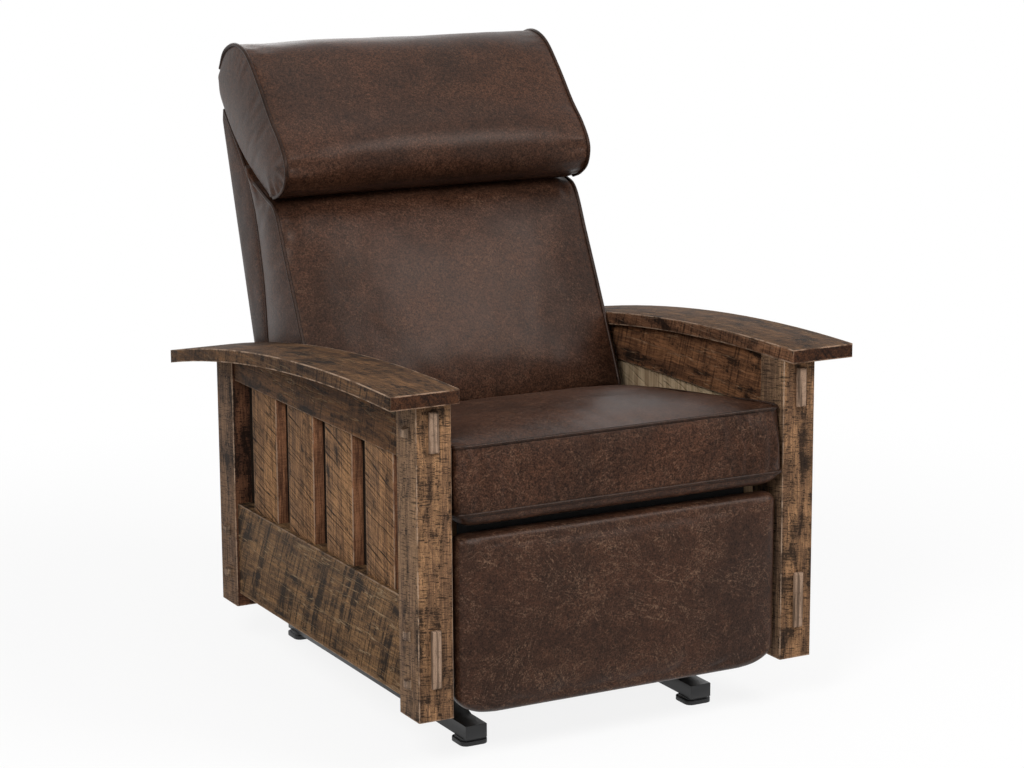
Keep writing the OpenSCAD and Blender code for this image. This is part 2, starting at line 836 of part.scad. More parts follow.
module back_bracket() {
    difference() {
        across(bracket_x, plate_t)
            bar(recline_p, back_point(post_start + 130, shell_t + post_d / 2), 15);
        across(bracket_x - 1, plate_t + 2) disc(recline_p, tilt_r + fit);
    }
}

cross_starts = [post_start + 20, post_start + 250, post_start + post_len - cross_h];
module cross_rails() {
    for (up = cross_starts)
        on_back() translate([-post_x, -shell_t - post_d, up]) cube([2 * post_x, cross_t, cross_h]);
}

module back_straps() {
    for (i = [0 : 5])
        on_back() translate([-post_x - post_w, -shell_t - post_d - strap_t, post_start + 70 + 75 * i])
            cube([2 * (post_x + post_w), strap_t, strap_w]);
}

// Where the outer back's side walls meet the cushion, along the back and in front of its rear face
function open_curve(p, steps) = concat([for (i = [0 : len(p) - 2], s = [0 : steps - 1])
    blend4(p[max(i - 1, 0)], p[i], p[i + 1], p[min(i + 2, len(p) - 1)], s / steps)], [p[len(p) - 1]]);
seam = open_curve([
    [shell_start + 29, wall_d - 37], [shell_start + 100, wall_d - 34], [shell_start + 171, wall_d - 26],
    [shell_start + 276, wall_d - 6], [lumbar_up - 10, wall_d], [lumbar_up + 103, wall_d - 23]], 2);

module back_wall() {
    round_top = [for (i = [0 : 6])
        back_point(shell_top + shell_round * (sin(15 * i) - 1), shell_round * (1 - cos(15 * i)))];
    outline = concat(round_top, [for (i = [len(seam) - 1 : -1 : 0]) back_point(seam[i][0], seam[i][1] - 0.4)],
        [back_point(shell_start, wall_d - 40), back_point(shell_start, 0)]);
    across(wall_x, wall_t) polygon(outline);
}

module padded_panel() {
    on_back() translate([-wall_x, -shell_t, shell_start])
        cube([2 * wall_x, shell_t, shell_top - shell_start - shell_round]);
}

// Cushions

module swollen(half, outline, anchor, k) {
    xs = stations(half, 7);
    loft(xs, [for (x = xs) swell(outline, anchor, [1, 1] + k * fullness(x, half))]);
}

seat_edge = box_top + seat_edge_h;
seat_outline = smooth([
    [cushion_y - 12, seat_bottom + 8], [cushion_y - 7, seat_edge - 56], [cushion_y, seat_edge - 6],
    [cushion_y + 40, seat_edge + 3], [cushion_y + 210, seat_edge - 18],
    [cushion_y + 400, seat_edge - seat_fall + 20], [cushion_y + cushion_d - 70, seat_edge - seat_fall],
    [cushion_y + cushion_d - 20, seat_edge - seat_fall - 24], [cushion_y + cushion_d - 6, seat_bottom + 14],
    [cushion_y + cushion_d - 25, seat_bottom], [cushion_y + 260, seat_bottom], [cushion_y + 12, seat_bottom]],
    3);

module seat_pad() {
    k = [0.006, seat_crown / seat_edge_h];
    low = [for (q = seat_outline) [q[0], max(q[1], seat_bottom)]];
    swollen(seat_half, low, [cushion_y + 260, seat_bottom], k);
}

// Distance along the back at which a line in front of its rear face reaches a height
function up_at(z, front) = (z - back_foot_z - front * sin(back_lean)) / cos(back_lean);
function at_height(z, front) = [up_at(z, front), front];
lumbar_z = seat_edge - seat_fall + 8;
lumbar_rear = shell_t + post_d + strap_t + 0.5;
lumbar_low = shell_t + post_d + lumbar_low_t;
lumbar_high = shell_t + post_d + lumbar_high_t;
lumbar_start = up_at(lumbar_z, lumbar_low);
function lumbar_point(share) = [lumbar_start + (lumbar_up - lumbar_start) * share,
    lumbar_low + (lumbar_high - lumbar_low) * share + 12 * share * (1 - share)];
lumbar_outline = concat(
    open_curve([
        at_height(lumbar_z - 34, lumbar_low - 160), at_height(lumbar_z - 23, lumbar_low - 72),
        at_height(lumbar_z - 11, lumbar_low - 15), lumbar_point(0), lumbar_point(0.25),
        lumbar_point(0.5), lumbar_point(0.75), lumbar_point(1), [lumbar_up + 21, lumbar_high - 36],
        [lumbar_up + 55, lumbar_high - 78]], 2),
    [for (i = [len(seam) - 1 : -1 : 0]) seam[i]]);

headrest_rear = shell_t + 0.3;
headrest_outline = smooth([
    [lumbar_up + 6, headrest_front - 70], [lumbar_up + 16, headrest_front - 20],
    [lumbar_up + 53, headrest_front], [lumbar_up + 103, headrest_front - 18],
    [lumbar_up + 144, headrest_front - 51], [headrest_top - 91, headrest_rear + headrest_t],
    [headrest_top - 31, headrest_rear + headrest_t - 30], [headrest_top, headrest_rear + 106],
    [headrest_top - 1, headrest_rear + 51], [headrest_top - 35, headrest_rear + 14.5],
    [headrest_top - 80, headrest_rear], [lumbar_up + 173, wall_d - 59.8],
    [lumbar_up + 120, wall_d - 24], [lumbar_up + 69, lumbar_high - 72],
    [lumbar_up + 29, lumbar_high - 28]], 2);

// A cushion on the back, which swells forwards of its rear
module back_pad(outline, rear, crown) {
    xs = stations(back_half, 7);
    loft(xs, [for (x = xs) let (k = 1 + crown * fullness(x, back_half))
        [for (q = outline) back_point(q[0], rear + (q[1] - rear) * k)]]);
}
module lumbar_pad() {
    back_pad(lumbar_outline, lumbar_rear, 0.1);
}
module headrest_pad() {
    back_pad(headrest_outline, headrest_rear - 1, 0.05);
}

// The pad's lower corners are rounded as the board's are
function corner_rise(x) = let (past = abs(x) - footrest_half + footrest_round)
    past > 0 ? footrest_round - sqrt(max(0, pow(footrest_round, 2) - past * past)) : 0;
function pad_outline(x) = let (full = fullness(x, footrest_half), z0 = footrest_z + corner_rise(x),
    z1 = footrest_z + footrest_h, front = footrest_y + 9 * (1 - full), back = board_front - 0.3)
    smooth([[back, z0 + 8], [front + 10, z0 + 1], [front + 3, z0 + 18], [front, (z0 + z1) / 2],
        [front + 3, z1 - 18], [front + 10, z1 - 1], [back, z1 - 8], [back, (z0 + z1) / 2]], 4);
module footrest_cushion() {
    xs = [for (x = stations(footrest_half, 8)) x];
    loft(xs, [for (x = xs) [for (q = pad_outline(x)) [min(q[0], board_front - 0.3), q[1]]]]);
}

// The nodes

wood = [0.36, 0.25, 0.17];
dark_wood = [0.27, 0.19, 0.14];
light_wood = [0.62, 0.47, 0.34];
plywood = [0.72, 0.6, 0.42];
leather = [0.24, 0.16, 0.14];
black_steel = [0.09, 0.09, 0.1];
zinc = [0.6, 0.6, 0.62];

module base_rail_left() { color(black_steel) in_place() base_rail(); }
module base_rail_right() { color(black_steel) in_place() other_side() base_rail(); }
module base_front_crossbar() { color(black_steel) in_place() base_crossbar(crossbar_rows[0]); }
module base_rear_crossbar() { color(black_steel) in_place() base_crossbar(crossbar_rows[1]); }
module foot_glides() {
    color([0.05, 0.05, 0.05]) in_place()
        for (y = [foot_front_y, foot_rear_y]) {
            glide(y);
            other_side() glide(y);
        }
}
module spring_lower_brackets() {
    color(zinc) in_place()
        for (y = spring_rows) {
            lower_spring_bracket(y);
            other_side() lower_spring_bracket(y);
        }
}
module lower_spring_bracket(y) {
    spring_bracket(y, spring_low - base_sheet, base_x - base_rail_w / 2, 12);
}
module rocker_springs() {
    color(zinc) in_place()
        for (y = spring_rows) {
            translate([spring_x, y, 0]) coil();
            other_side() translate([spring_x, y, 0]) coil();
        }
}
module rocker_cam_left() { color(light_wood) in_place() rocker_cam(); }
module rocker_cam_right() { color(light_wood) in_place() other_side() rocker_cam(); }
module spring_upper_brackets() {
    color(zinc) in_place()
        for (y = spring_rows) {
            upper_spring_bracket(y);
            other_side() upper_spring_bracket(y);
        }
}
module upper_spring_bracket(y) {
    spring_bracket(y, spring_high, base_x - cam_thick / 2, 10);
}
module frame_tube(y) {
    translate([-frame_plate_x, y - tube_side / 2, cam_top])
        cube([2 * frame_plate_x, tube_side, tube_side]);
}
module frame_front_tube() { color(black_steel) in_place() frame_tube(tube_rows[0]); }
module frame_rear_tube() { color(black_steel) in_place() frame_tube(tube_rows[1]); }
module frame_plate_left() { color(black_steel) in_place() frame_plate(); }
module frame_plate_right() { color(black_steel) in_place() other_side() frame_plate(); }
module front_leg_left() { color(wood) in_place() front_leg(); }
module front_leg_right() { color(wood) in_place() other_side() front_leg(); }
module rear_leg_left() { color(wood) in_place() rear_leg(); }
module rear_leg_right() { color(wood) in_place() other_side() rear_leg(); }
module lower_rail_left() { color(wood) in_place() lower_rail(); }
module lower_rail_right() { color(wood) in_place() other_side() lower_rail(); }
module upper_rail_left() { color(dark_wood) in_place() upper_rail(); }
module upper_rail_right() { color(dark_wood) in_place() other_side() upper_rail(); }
module slats_left() { color(wood) in_place() slats(); }
module slats_right() { color(wood) in_place() other_side() slats(); }
module arm_left() { color(dark_wood) in_place() arm_board(); }
module arm_right() { color(dark_wood) in_place() other_side() arm_board(); }
module frame_pegs() {
    color(wood) in_place() {
        pegs();
        other_side() pegs();
    }
}
module frame_bolts() {
    color(zinc) in_place() {
        bolts();
        other_side() bolts();
    }
}
module lift_link_left() { color(zinc) in_place() lift_link(); }
module lift_link_right() { color(zinc) in_place() other_side() lift_link(); }
module seat_plate_left() { color(black_steel) in_place() seat_plate(); }
module seat_plate_right() { color(black_steel) in_place() other_side() seat_plate(); }
module seat_rail_left() { color(plywood) in_place() seat_rail(); }
module seat_rail_right() { color(plywood) in_place() other_side() seat_rail(); }
module seat_cross_rails() {
    color(plywood) in_place() {
        cross_rail(box_y);
        cross_rail(box_y + box_d - board_t);
    }
}
module seat_webbing() { color([0.5, 0.45, 0.38]) in_place() webbing(); }
module seat_cushion() { color(leather) in_place() seat_pad(); }
module rear_link_left() { color(zinc) in_place() rear_link(); }
module rear_link_right() { color(zinc) in_place() other_side() rear_link(); }
module torque_tube() { color(zinc) in_place() torque_bar(); }
module front_link_left() { color(zinc) in_place() front_link(); }
module front_link_right() { color(zinc) in_place() other_side() front_link(); }
module carrier_link_left() { color(zinc) in_place() carrier_link(); }
module carrier_link_right() { color(zinc) in_place() other_side() carrier_link(); }
module control_link_left() { color(zinc) in_place() control_link(); }
module control_link_right() { color(zinc) in_place() other_side() control_link(); }
module footrest_bracket_left() { color(zinc) in_place() footrest_bracket(); }
module footrest_bracket_right() { color(zinc) in_place() other_side() footrest_bracket(); }
module footrest_board() { color(plywood) in_place() footrest_panel(); }
module footrest_pad() { color(leather) in_place() footrest_cushion(); }
module back_bracket_left() { color(zinc) in_place() back_bracket(); }
module back_bracket_right() { color(zinc) in_place() other_side() back_bracket(); }
module back_post_left() { color(plywood) in_place() back_post(); }
module back_post_right() { color(plywood) in_place() other_side() back_post(); }
module back_cross_rails() { color(plywood) in_place() cross_rails(); }
module back_webbing() { color([0.5, 0.45, 0.38]) in_place() back_straps(); }
module back_panel() { color(leather) in_place() padded_panel(); }
module back_walls() {
    color(leather) in_place() {
        back_wall();
        other_side() back_wall();
    }
}
module lumbar_cushion() { color(leather) in_place() lumbar_pad(); }
module headrest_cushion() { color(leather) in_place() headrest_pad(); }

base_rail_left();
base_rail_right();
base_front_crossbar();
base_rear_crossbar();
foot_glides();
spring_lower_brackets();
rocker_springs();
rocker_cam_left();
rocker_cam_right();
spring_upper_brackets();
frame_front_tube();
frame_rear_tube();
frame_plate_left();
frame_plate_right();
front_leg_left();
front_leg_right();
rear_leg_left();
rear_leg_right();
lower_rail_left();
lower_rail_right();
upper_rail_left();
upper_rail_right();
slats_left();
slats_right();
arm_left();
arm_right();
frame_pegs();
frame_bolts();
lift_link_left();
lift_link_right();
seat_plate_left();
seat_plate_right();
seat_rail_left();
seat_rail_right();
seat_cross_rails();
seat_webbing();
seat_cushion();
rear_link_left();
rear_link_right();
torque_tube();
front_link_left();
front_link_right();
carrier_link_left();
carrier_link_right();
control_link_left();
control_link_right();
footrest_bracket_left();
footrest_bracket_right();
footrest_board();
footrest_pad();
back_bracket_left();
back_bracket_right();
back_post_left();
back_post_right();
back_cross_rails();
back_webbing();
back_panel();
back_walls();
lumbar_cushion();
headrest_cushion();
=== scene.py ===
"""Looks of a rocker recliner: aged leather cushions in slatted frames of rough, weathered wood."""

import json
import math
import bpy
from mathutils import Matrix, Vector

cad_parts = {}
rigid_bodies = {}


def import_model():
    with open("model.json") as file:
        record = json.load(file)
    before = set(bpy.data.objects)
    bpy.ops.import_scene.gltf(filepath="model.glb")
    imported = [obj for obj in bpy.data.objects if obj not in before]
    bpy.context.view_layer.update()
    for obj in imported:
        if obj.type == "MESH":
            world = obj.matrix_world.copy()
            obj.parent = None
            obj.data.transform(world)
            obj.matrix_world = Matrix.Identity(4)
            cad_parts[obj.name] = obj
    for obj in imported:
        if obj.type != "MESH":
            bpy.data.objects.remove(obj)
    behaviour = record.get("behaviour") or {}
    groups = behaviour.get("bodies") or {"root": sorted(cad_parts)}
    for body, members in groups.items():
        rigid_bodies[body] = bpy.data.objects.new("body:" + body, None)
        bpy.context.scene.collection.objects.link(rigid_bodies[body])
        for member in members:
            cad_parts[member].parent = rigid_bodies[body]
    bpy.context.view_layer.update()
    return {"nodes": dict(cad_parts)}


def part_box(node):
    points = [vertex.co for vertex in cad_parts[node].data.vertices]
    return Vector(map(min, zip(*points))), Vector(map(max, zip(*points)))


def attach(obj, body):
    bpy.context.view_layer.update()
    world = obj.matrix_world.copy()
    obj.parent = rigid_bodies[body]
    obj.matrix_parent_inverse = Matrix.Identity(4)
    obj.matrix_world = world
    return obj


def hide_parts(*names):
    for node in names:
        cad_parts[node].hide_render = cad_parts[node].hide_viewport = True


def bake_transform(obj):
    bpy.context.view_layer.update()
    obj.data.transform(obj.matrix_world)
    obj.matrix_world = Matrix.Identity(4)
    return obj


bl_info = {
    "name": "Rocker recliner looks",
    "version": (1, 0, 0),
    "blender": (4, 5, 0),
    "location": "View3D > Sidebar > Recliner",
    "description": "Dresses the rocker recliner in leather, rough wood and steel",
    "category": "Object",
}

import bpy
from mathutils import Matrix, Vector, kdtree, noise

for leftover in list(bpy.data.objects):
    bpy.data.objects.remove(leftover)

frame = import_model()

NODES = frame["nodes"]

# The chair's own measures in millimetres. Depth is counted from the front face of the front legs.
CENTRE_Y = 460.656
BACK_LEAN = math.radians(17.4)
BACK_FOOT_Y = 759.0
BACK_FOOT_Z = 360.0
ARM_RADIUS = 4.1
ARM_THICK = 0.023
ARM_CREST_Z = 0.643
ARM_CREST_Y = 0.060 - CENTRE_Y / 1000


def at(x, y, z):
    """A point of the chair, from millimetres with the depth counted from the front legs."""
    return Vector((x, y - CENTRE_Y, z)) / 1000


def on_back(x, up, front):
    """A point of the leaning back, from millimetres up along it and in front of its rear face."""
    y = BACK_FOOT_Y + up * math.sin(BACK_LEAN) - front * math.cos(BACK_LEAN)
    z = BACK_FOOT_Z + up * math.cos(BACK_LEAN) + front * math.sin(BACK_LEAN)
    return at(x, y, z)


def mix(a, b, share):
    """The value that lies at a share of the way from a to b."""
    return a + (b - a) * share


def step(low, high, value):
    """A smooth step from 0 at low to 1 at high."""
    share = min(1.0, max(0.0, (value - low) / (high - low)))
    return share * share * (3 - 2 * share)


# ---------------------------------------- sizes and colours a user would change


class LeatherLook(bpy.types.PropertyGroup):
    """Colours of the aged leather."""

    ground: bpy.props.FloatVectorProperty(
        name="Leather", description="Main colour of the leather", subtype="COLOR",
        size=3, min=0, max=1, default=(0.0475, 0.0200, 0.0112))
    worn: bpy.props.FloatVectorProperty(
        name="Rubbed leather", description="Redder colour where the leather is rubbed",
        subtype="COLOR", size=3, min=0, max=1, default=(0.062, 0.0265, 0.0150))
    crease: bpy.props.FloatVectorProperty(
        name="Creases", description="Pale colour of the fine creases and scratches",
        subtype="COLOR", size=3, min=0, max=1, default=(0.150, 0.088, 0.056))
    deep: bpy.props.FloatVectorProperty(
        name="Dark leather", description="Darkest tone of the leather", subtype="COLOR",
        size=3, min=0, max=1, default=(0.029, 0.0130, 0.0078))
    roughness: bpy.props.FloatProperty(
        name="Roughness", description="Mean roughness of the leather", subtype="FACTOR",
        min=0.1, max=0.9, default=0.36)


class WoodLook(bpy.types.PropertyGroup):
    """Colours of the rough, weathered boards."""

    pale: bpy.props.FloatVectorProperty(
        name="Pale wood", description="Tan colour of the clean wood", subtype="COLOR",
        size=3, min=0, max=1, default=(0.320, 0.182, 0.092))
    mid: bpy.props.FloatVectorProperty(
        name="Brown wood", description="Brown colour of the stained wood", subtype="COLOR",
        size=3, min=0, max=1, default=(0.135, 0.076, 0.044))
    dark: bpy.props.FloatVectorProperty(
        name="Black stain", description="Near-black colour of the weathering", subtype="COLOR",
        size=3, min=0, max=1, default=(0.013, 0.0085, 0.006))
    edge: bpy.props.FloatVectorProperty(
        name="Worn edges", description="Pale colour of the rubbed edges", subtype="COLOR",
        size=3, min=0, max=1, default=(0.400, 0.275, 0.190))
    check: bpy.props.FloatVectorProperty(
        name="Checks", description="Colour of the fine drying cracks", subtype="COLOR",
        size=3, min=0, max=1, default=(0.340, 0.230, 0.130))
    tenon: bpy.props.FloatVectorProperty(
        name="Tenon ends", description="Pinkish colour of the through tenons", subtype="COLOR",
        size=3, min=0, max=1, default=(0.360, 0.240, 0.165))


class CushionSizes(bpy.types.PropertyGroup):
    """Sizes of the soft pieces."""

    piping: bpy.props.FloatProperty(
        name="Piping", description="Radius of the piping cord in its leather", subtype="DISTANCE",
        min=0.002, max=0.006, default=0.0036)
    seat_swell: bpy.props.FloatProperty(
        name="Seat swell", description="How far the filling may push the seat's leather out",
        subtype="DISTANCE", min=0, max=0.03, default=0.022)
    back_swell: bpy.props.FloatProperty(
        name="Back swell",
        description="How far the filling may push the back cushions' leather out",
        subtype="DISTANCE", min=0, max=0.03, default=0.022)
    pad_swell: bpy.props.FloatProperty(
        name="Footrest swell",
        description="How far the filling may push the footrest's leather out",
        subtype="DISTANCE", min=0, max=0.02, default=0.008)
    gathers: bpy.props.FloatProperty(
        name="Gathers", description="Depth of the small folds beside the seams", subtype="DISTANCE",
        min=0, max=0.006, default=0.0022)


class StageLook(bpy.types.PropertyGroup):
    """The plain studio around the chair."""

    floor: bpy.props.FloatVectorProperty(
        name="Floor", description="Colour of the plain floor", subtype="COLOR",
        size=3, min=0, max=1, default=(0.90, 0.90, 0.90))
    ambient: bpy.props.FloatProperty(
        name="Ambient light", description="Strength of the light from all around",
        min=0, max=2, default=0.33)
    key: bpy.props.FloatProperty(
        name="Key light", description="Power of the main soft light", subtype="POWER",
        min=0, max=1000, default=80.0)


# ---------------------------------------- shader maths


def both_ways(operation):
    """An overloaded operator and its reflected form, such as for 1 - mask."""

    def forward(self, other):
        return self._math(operation, self, other)

    def reflected(self, other):
        return self._math(operation, other, self)

    return forward, reflected


class Signal:
    """One socket in shader maths: an operator on it adds a Math node."""

    def __init__(self, finish, socket):
        self.finish = finish
        self.socket = socket

    def _math(self, operation, *terms):
        return self.finish.node("ShaderNodeMath", {"operation": operation}, dict(enumerate(terms)))

    __add__, __radd__ = both_ways("ADD")
    __sub__, __rsub__ = both_ways("SUBTRACT")
    __mul__, __rmul__ = both_ways("MULTIPLY")
    __truediv__, __rtruediv__ = both_ways("DIVIDE")
    __pow__, __rpow__ = both_ways("POWER")
    __mod__, __rmod__ = both_ways("FLOORED_MODULO")

    def __floordiv__(self, other):
        return self._math("FLOOR", self / other)

    def __rfloordiv__(self, other):
        return self._math("FLOOR", other / self)

    def __neg__(self):
        return self._math("MULTIPLY", self, -1.0)

    def __abs__(self):
        return self._math("ABSOLUTE", self)

    def least(self, other):
        return self._math("MINIMUM", self, other)

    def most(self, other):
        return self._math("MAXIMUM", self, other)

    def sine(self):
        return self._math("SINE", self)

    def _step(self, low, high, first, last):
        return self.finish.node(
            "ShaderNodeMapRange", {"interpolation_type": "SMOOTHSTEP"},
            {"Value": self, "From Min": low, "From Max": high, "To Min": first, "To Max": last})

    def rise(self, low, high):
        """A smooth step that is 0 below low and 1 above high."""
        return self._step(low, high, 0.0, 1.0)

    def fall(self, low, high):
        """A smooth step that is 1 below low and 0 above high."""
        return self._step(low, high, 1.0, 0.0)

    def line(self, level, width):
        """Thin lines where the signal passes a level."""
        return abs(self - level).fall(0.0, width)


class Finish:
    """A procedural material in the making, with the one method that adds its nodes."""

    def __init__(self, name, tree=None):
        if tree is None:
            self.material = bpy.data.materials.new(name)
            self.material.use_nodes = True
            tree = self.material.node_tree
        self.tree = tree
        self.tree.nodes.clear()

    def node(self, kind, settings=None, sockets=None, out=0):
        """Adds a node: its settings first, then the values or links of its sockets."""
        made = self.tree.nodes.new(kind)
        for name, value in (settings or {}).items():
            setattr(made, name, value)
        for name, value in (sockets or {}).items():
            socket = made.inputs[name]
            if isinstance(value, Signal):
                self.tree.links.new(value.socket, socket)
            elif socket.type == "RGBA" and len(value) == 3:
                socket.default_value = (*value, 1.0)
            else:
                socket.default_value = value
        if out is None:
            return [Signal(self, socket) for socket in made.outputs]
        return Signal(self, made.outputs[out]) if made.outputs else None

    def place(self):
        """The point on the object, in metres of the frame at rest."""
        return self.node("ShaderNodeTexCoord", out="Object")

    def facing(self):
        """The three parts of the object's own normal."""
        return self.parts(self.node("ShaderNodeTexCoord", out="Normal"))

    def parts(self, vector):
        return self.node("ShaderNodeSeparateXYZ", None, {0: vector}, out=None)

    def vector(self, x, y, z):
        return self.node("ShaderNodeCombineXYZ", None, {0: x, 1: y, 2: z})

    def stretched(self, vector, factors):
        return self.node("ShaderNodeVectorMath", {"operation": "MULTIPLY"}, {0: vector, 1: factors})

    def shifted(self, vector, offset):
        return self.node("ShaderNodeVectorMath", {"operation": "ADD"}, {0: vector, 1: offset})

    def cloud(self, vector, scale, detail=3.0, roughness=0.5, distortion=0.0, out="Fac"):
        return self.node(
            "ShaderNodeTexNoise", {"noise_dimensions": "3D"},
            {"Vector": vector, "Scale": scale, "Detail": detail, "Roughness": roughness,
             "Distortion": distortion}, out=out)

    def cells(self, vector, scale, feature="F1", out="Distance"):
        return self.node(
            "ShaderNodeTexVoronoi", {"feature": feature},
            {"Vector": vector, "Scale": scale}, out=out)

    def warped(self, vector, scale, reach, detail=3.0):
        """The vector pushed about by a coloured noise, up to about half of reach."""
        push = self.cloud(vector, scale, detail, 0.6, out="Color")
        push = self.shifted(push, (-0.5, -0.5, -0.5))
        push = self.node("ShaderNodeVectorMath", {"operation": "SCALE"}, {0: push, "Scale": reach})
        return self.shifted(vector, push)

    def blend(self, share, first, second, way="MIX"):
        """Colours mixed by a share."""
        return self.node(
            "ShaderNodeMix", {"data_type": "RGBA", "blend_type": way, "clamp_factor": True},
            {0: share, 6: first, 7: second}, out=2)

    def relief(self, height, strength, depth):
        """The normal of a height given as a share of a depth in metres."""
        return self.node(
            "ShaderNodeBump", None, {"Strength": strength, "Distance": depth, "Height": height})

    def gain(self, colour, share):
        """The colour made lighter or darker by a share."""
        return self.blend(1.0, colour, self.vector(share, share, share), "MULTIPLY")

    def background_rays(self):
        """1 for the rays that see the background: from the camera, off gloss and through glass."""
        kinds = [self.node("ShaderNodeLightPath", out="Is %s Ray" % kind)
                 for kind in ("Camera", "Glossy", "Transmission")]
        return (kinds[0] + kinds[1] + kinds[2]).least(1.0)

    def close(self, colour, roughness, normal, metallic=0.0, fixed=None):
        """Ends the material in a Principled shader."""
        sockets = {"Base Color": colour, "Roughness": roughness, "Metallic": metallic,
                   "Normal": normal, **(fixed or {})}
        shader = self.node("ShaderNodeBsdfPrincipled", None, sockets)
        self.node("ShaderNodeOutputMaterial", None, {"Surface": shader})
        return self.material


# ---------------------------------------- finishes


def aged_leather(name, look, creases=1.0, tone=1.0, long_marks=0.0, gloss=0.18, pebble=1.0):
    """Dark brown pulled-up leather: clouded colour, pale hair-fine creases and a pebble grain."""
    f = Finish(name)
    where = f.place()
    x, y, z = f.parts(where)
    across = z + y * 0.9
    drift = f.cloud(where, 6.5, 4.0, 0.6)
    mottle = f.cloud(where, 30.0, 6.0, 0.66)
    fleck = f.cloud(where, 330.0, 4.0, 0.7)
    marks = 0.0
    # The turn, number in a metre and seed of each set of hair-fine creases
    sets = ((0.35, 105.0, 0.0), (1.25, 120.0, 3.1), (2.1, 90.0, 6.7), (2.8, 130.0, 9.4))
    for turn, lines, seed in sets:
        along = x * math.cos(turn) + across * math.sin(turn)
        beside = across * math.cos(turn) - x * math.sin(turn)
        drawn_out = f.vector(beside * lines, along * lines * 0.15, y * 30.0 + seed)
        hair = f.cloud(drawn_out, 1.0, 3.0, 0.55, 0.25)
        here = f.cloud(f.shifted(where, (seed, seed * 0.7, -seed)), 13.0, 4.0, 0.62)
        marks = hair.line(0.5, 0.030) * here.rise(0.48, 0.62) * 0.75 + marks
    crackle = f.cells(f.warped(where, 40.0, 0.022, 4.0), 64.0, "DISTANCE_TO_EDGE").fall(0.0, 0.06)
    marks = (marks + crackle * mottle.rise(0.44, 0.62) * 0.40) * fleck.rise(0.28, 0.66) * creases
    if long_marks:
        drawn = f.cloud(f.vector((across + x * 0.35) * 34.0, x * 3.2, y * 6.0 + 2.0), 1.0, 3.0, 0.5)
        drawn = drawn.line(0.5, 0.009) * drift.rise(0.44, 0.58) * fleck.rise(0.3, 0.6)
        marks = drawn * long_marks + marks
    shades = [tuple(c * tone for c in shade) for shade in (look.deep, look.ground, look.worn)]
    colour = f.blend(drift.rise(0.38, 0.62), shades[0], shades[1])
    colour = f.blend(mottle.rise(0.44, 0.70) * 0.40, colour, shades[2])
    colour = f.blend(mottle.fall(0.30, 0.50) * 0.35, colour, shades[0])
    colour = f.blend((marks * 0.60).least(0.62), colour, look.crease)
    grain = f.cells(where, 620.0)
    patches = f.cloud(f.shifted(where, (2.0, -1.0, 4.0)), 150.0, 4.0, 0.7)
    pores = 1.0 + ((fleck - 0.5) * 4.0 + (patches - 0.5) * 2.4) * pebble - (grain - 0.4) * 0.7
    pores = pores.most(0.30).least(1.80)
    colour = f.gain(colour, pores)
    height = grain * 0.30 + fleck * 0.45 + mottle * 0.5 - marks.least(1.0) * 0.30
    roughness = look.roughness - 0.06 + drift * 0.12 + marks.least(1.0) * 0.15
    return f.close(
        colour, roughness, f.relief(height, 0.34, 0.0012),
        fixed={"Specular IOR Level": gloss, "Specular Tint": (1.0, 0.84, 0.76)})


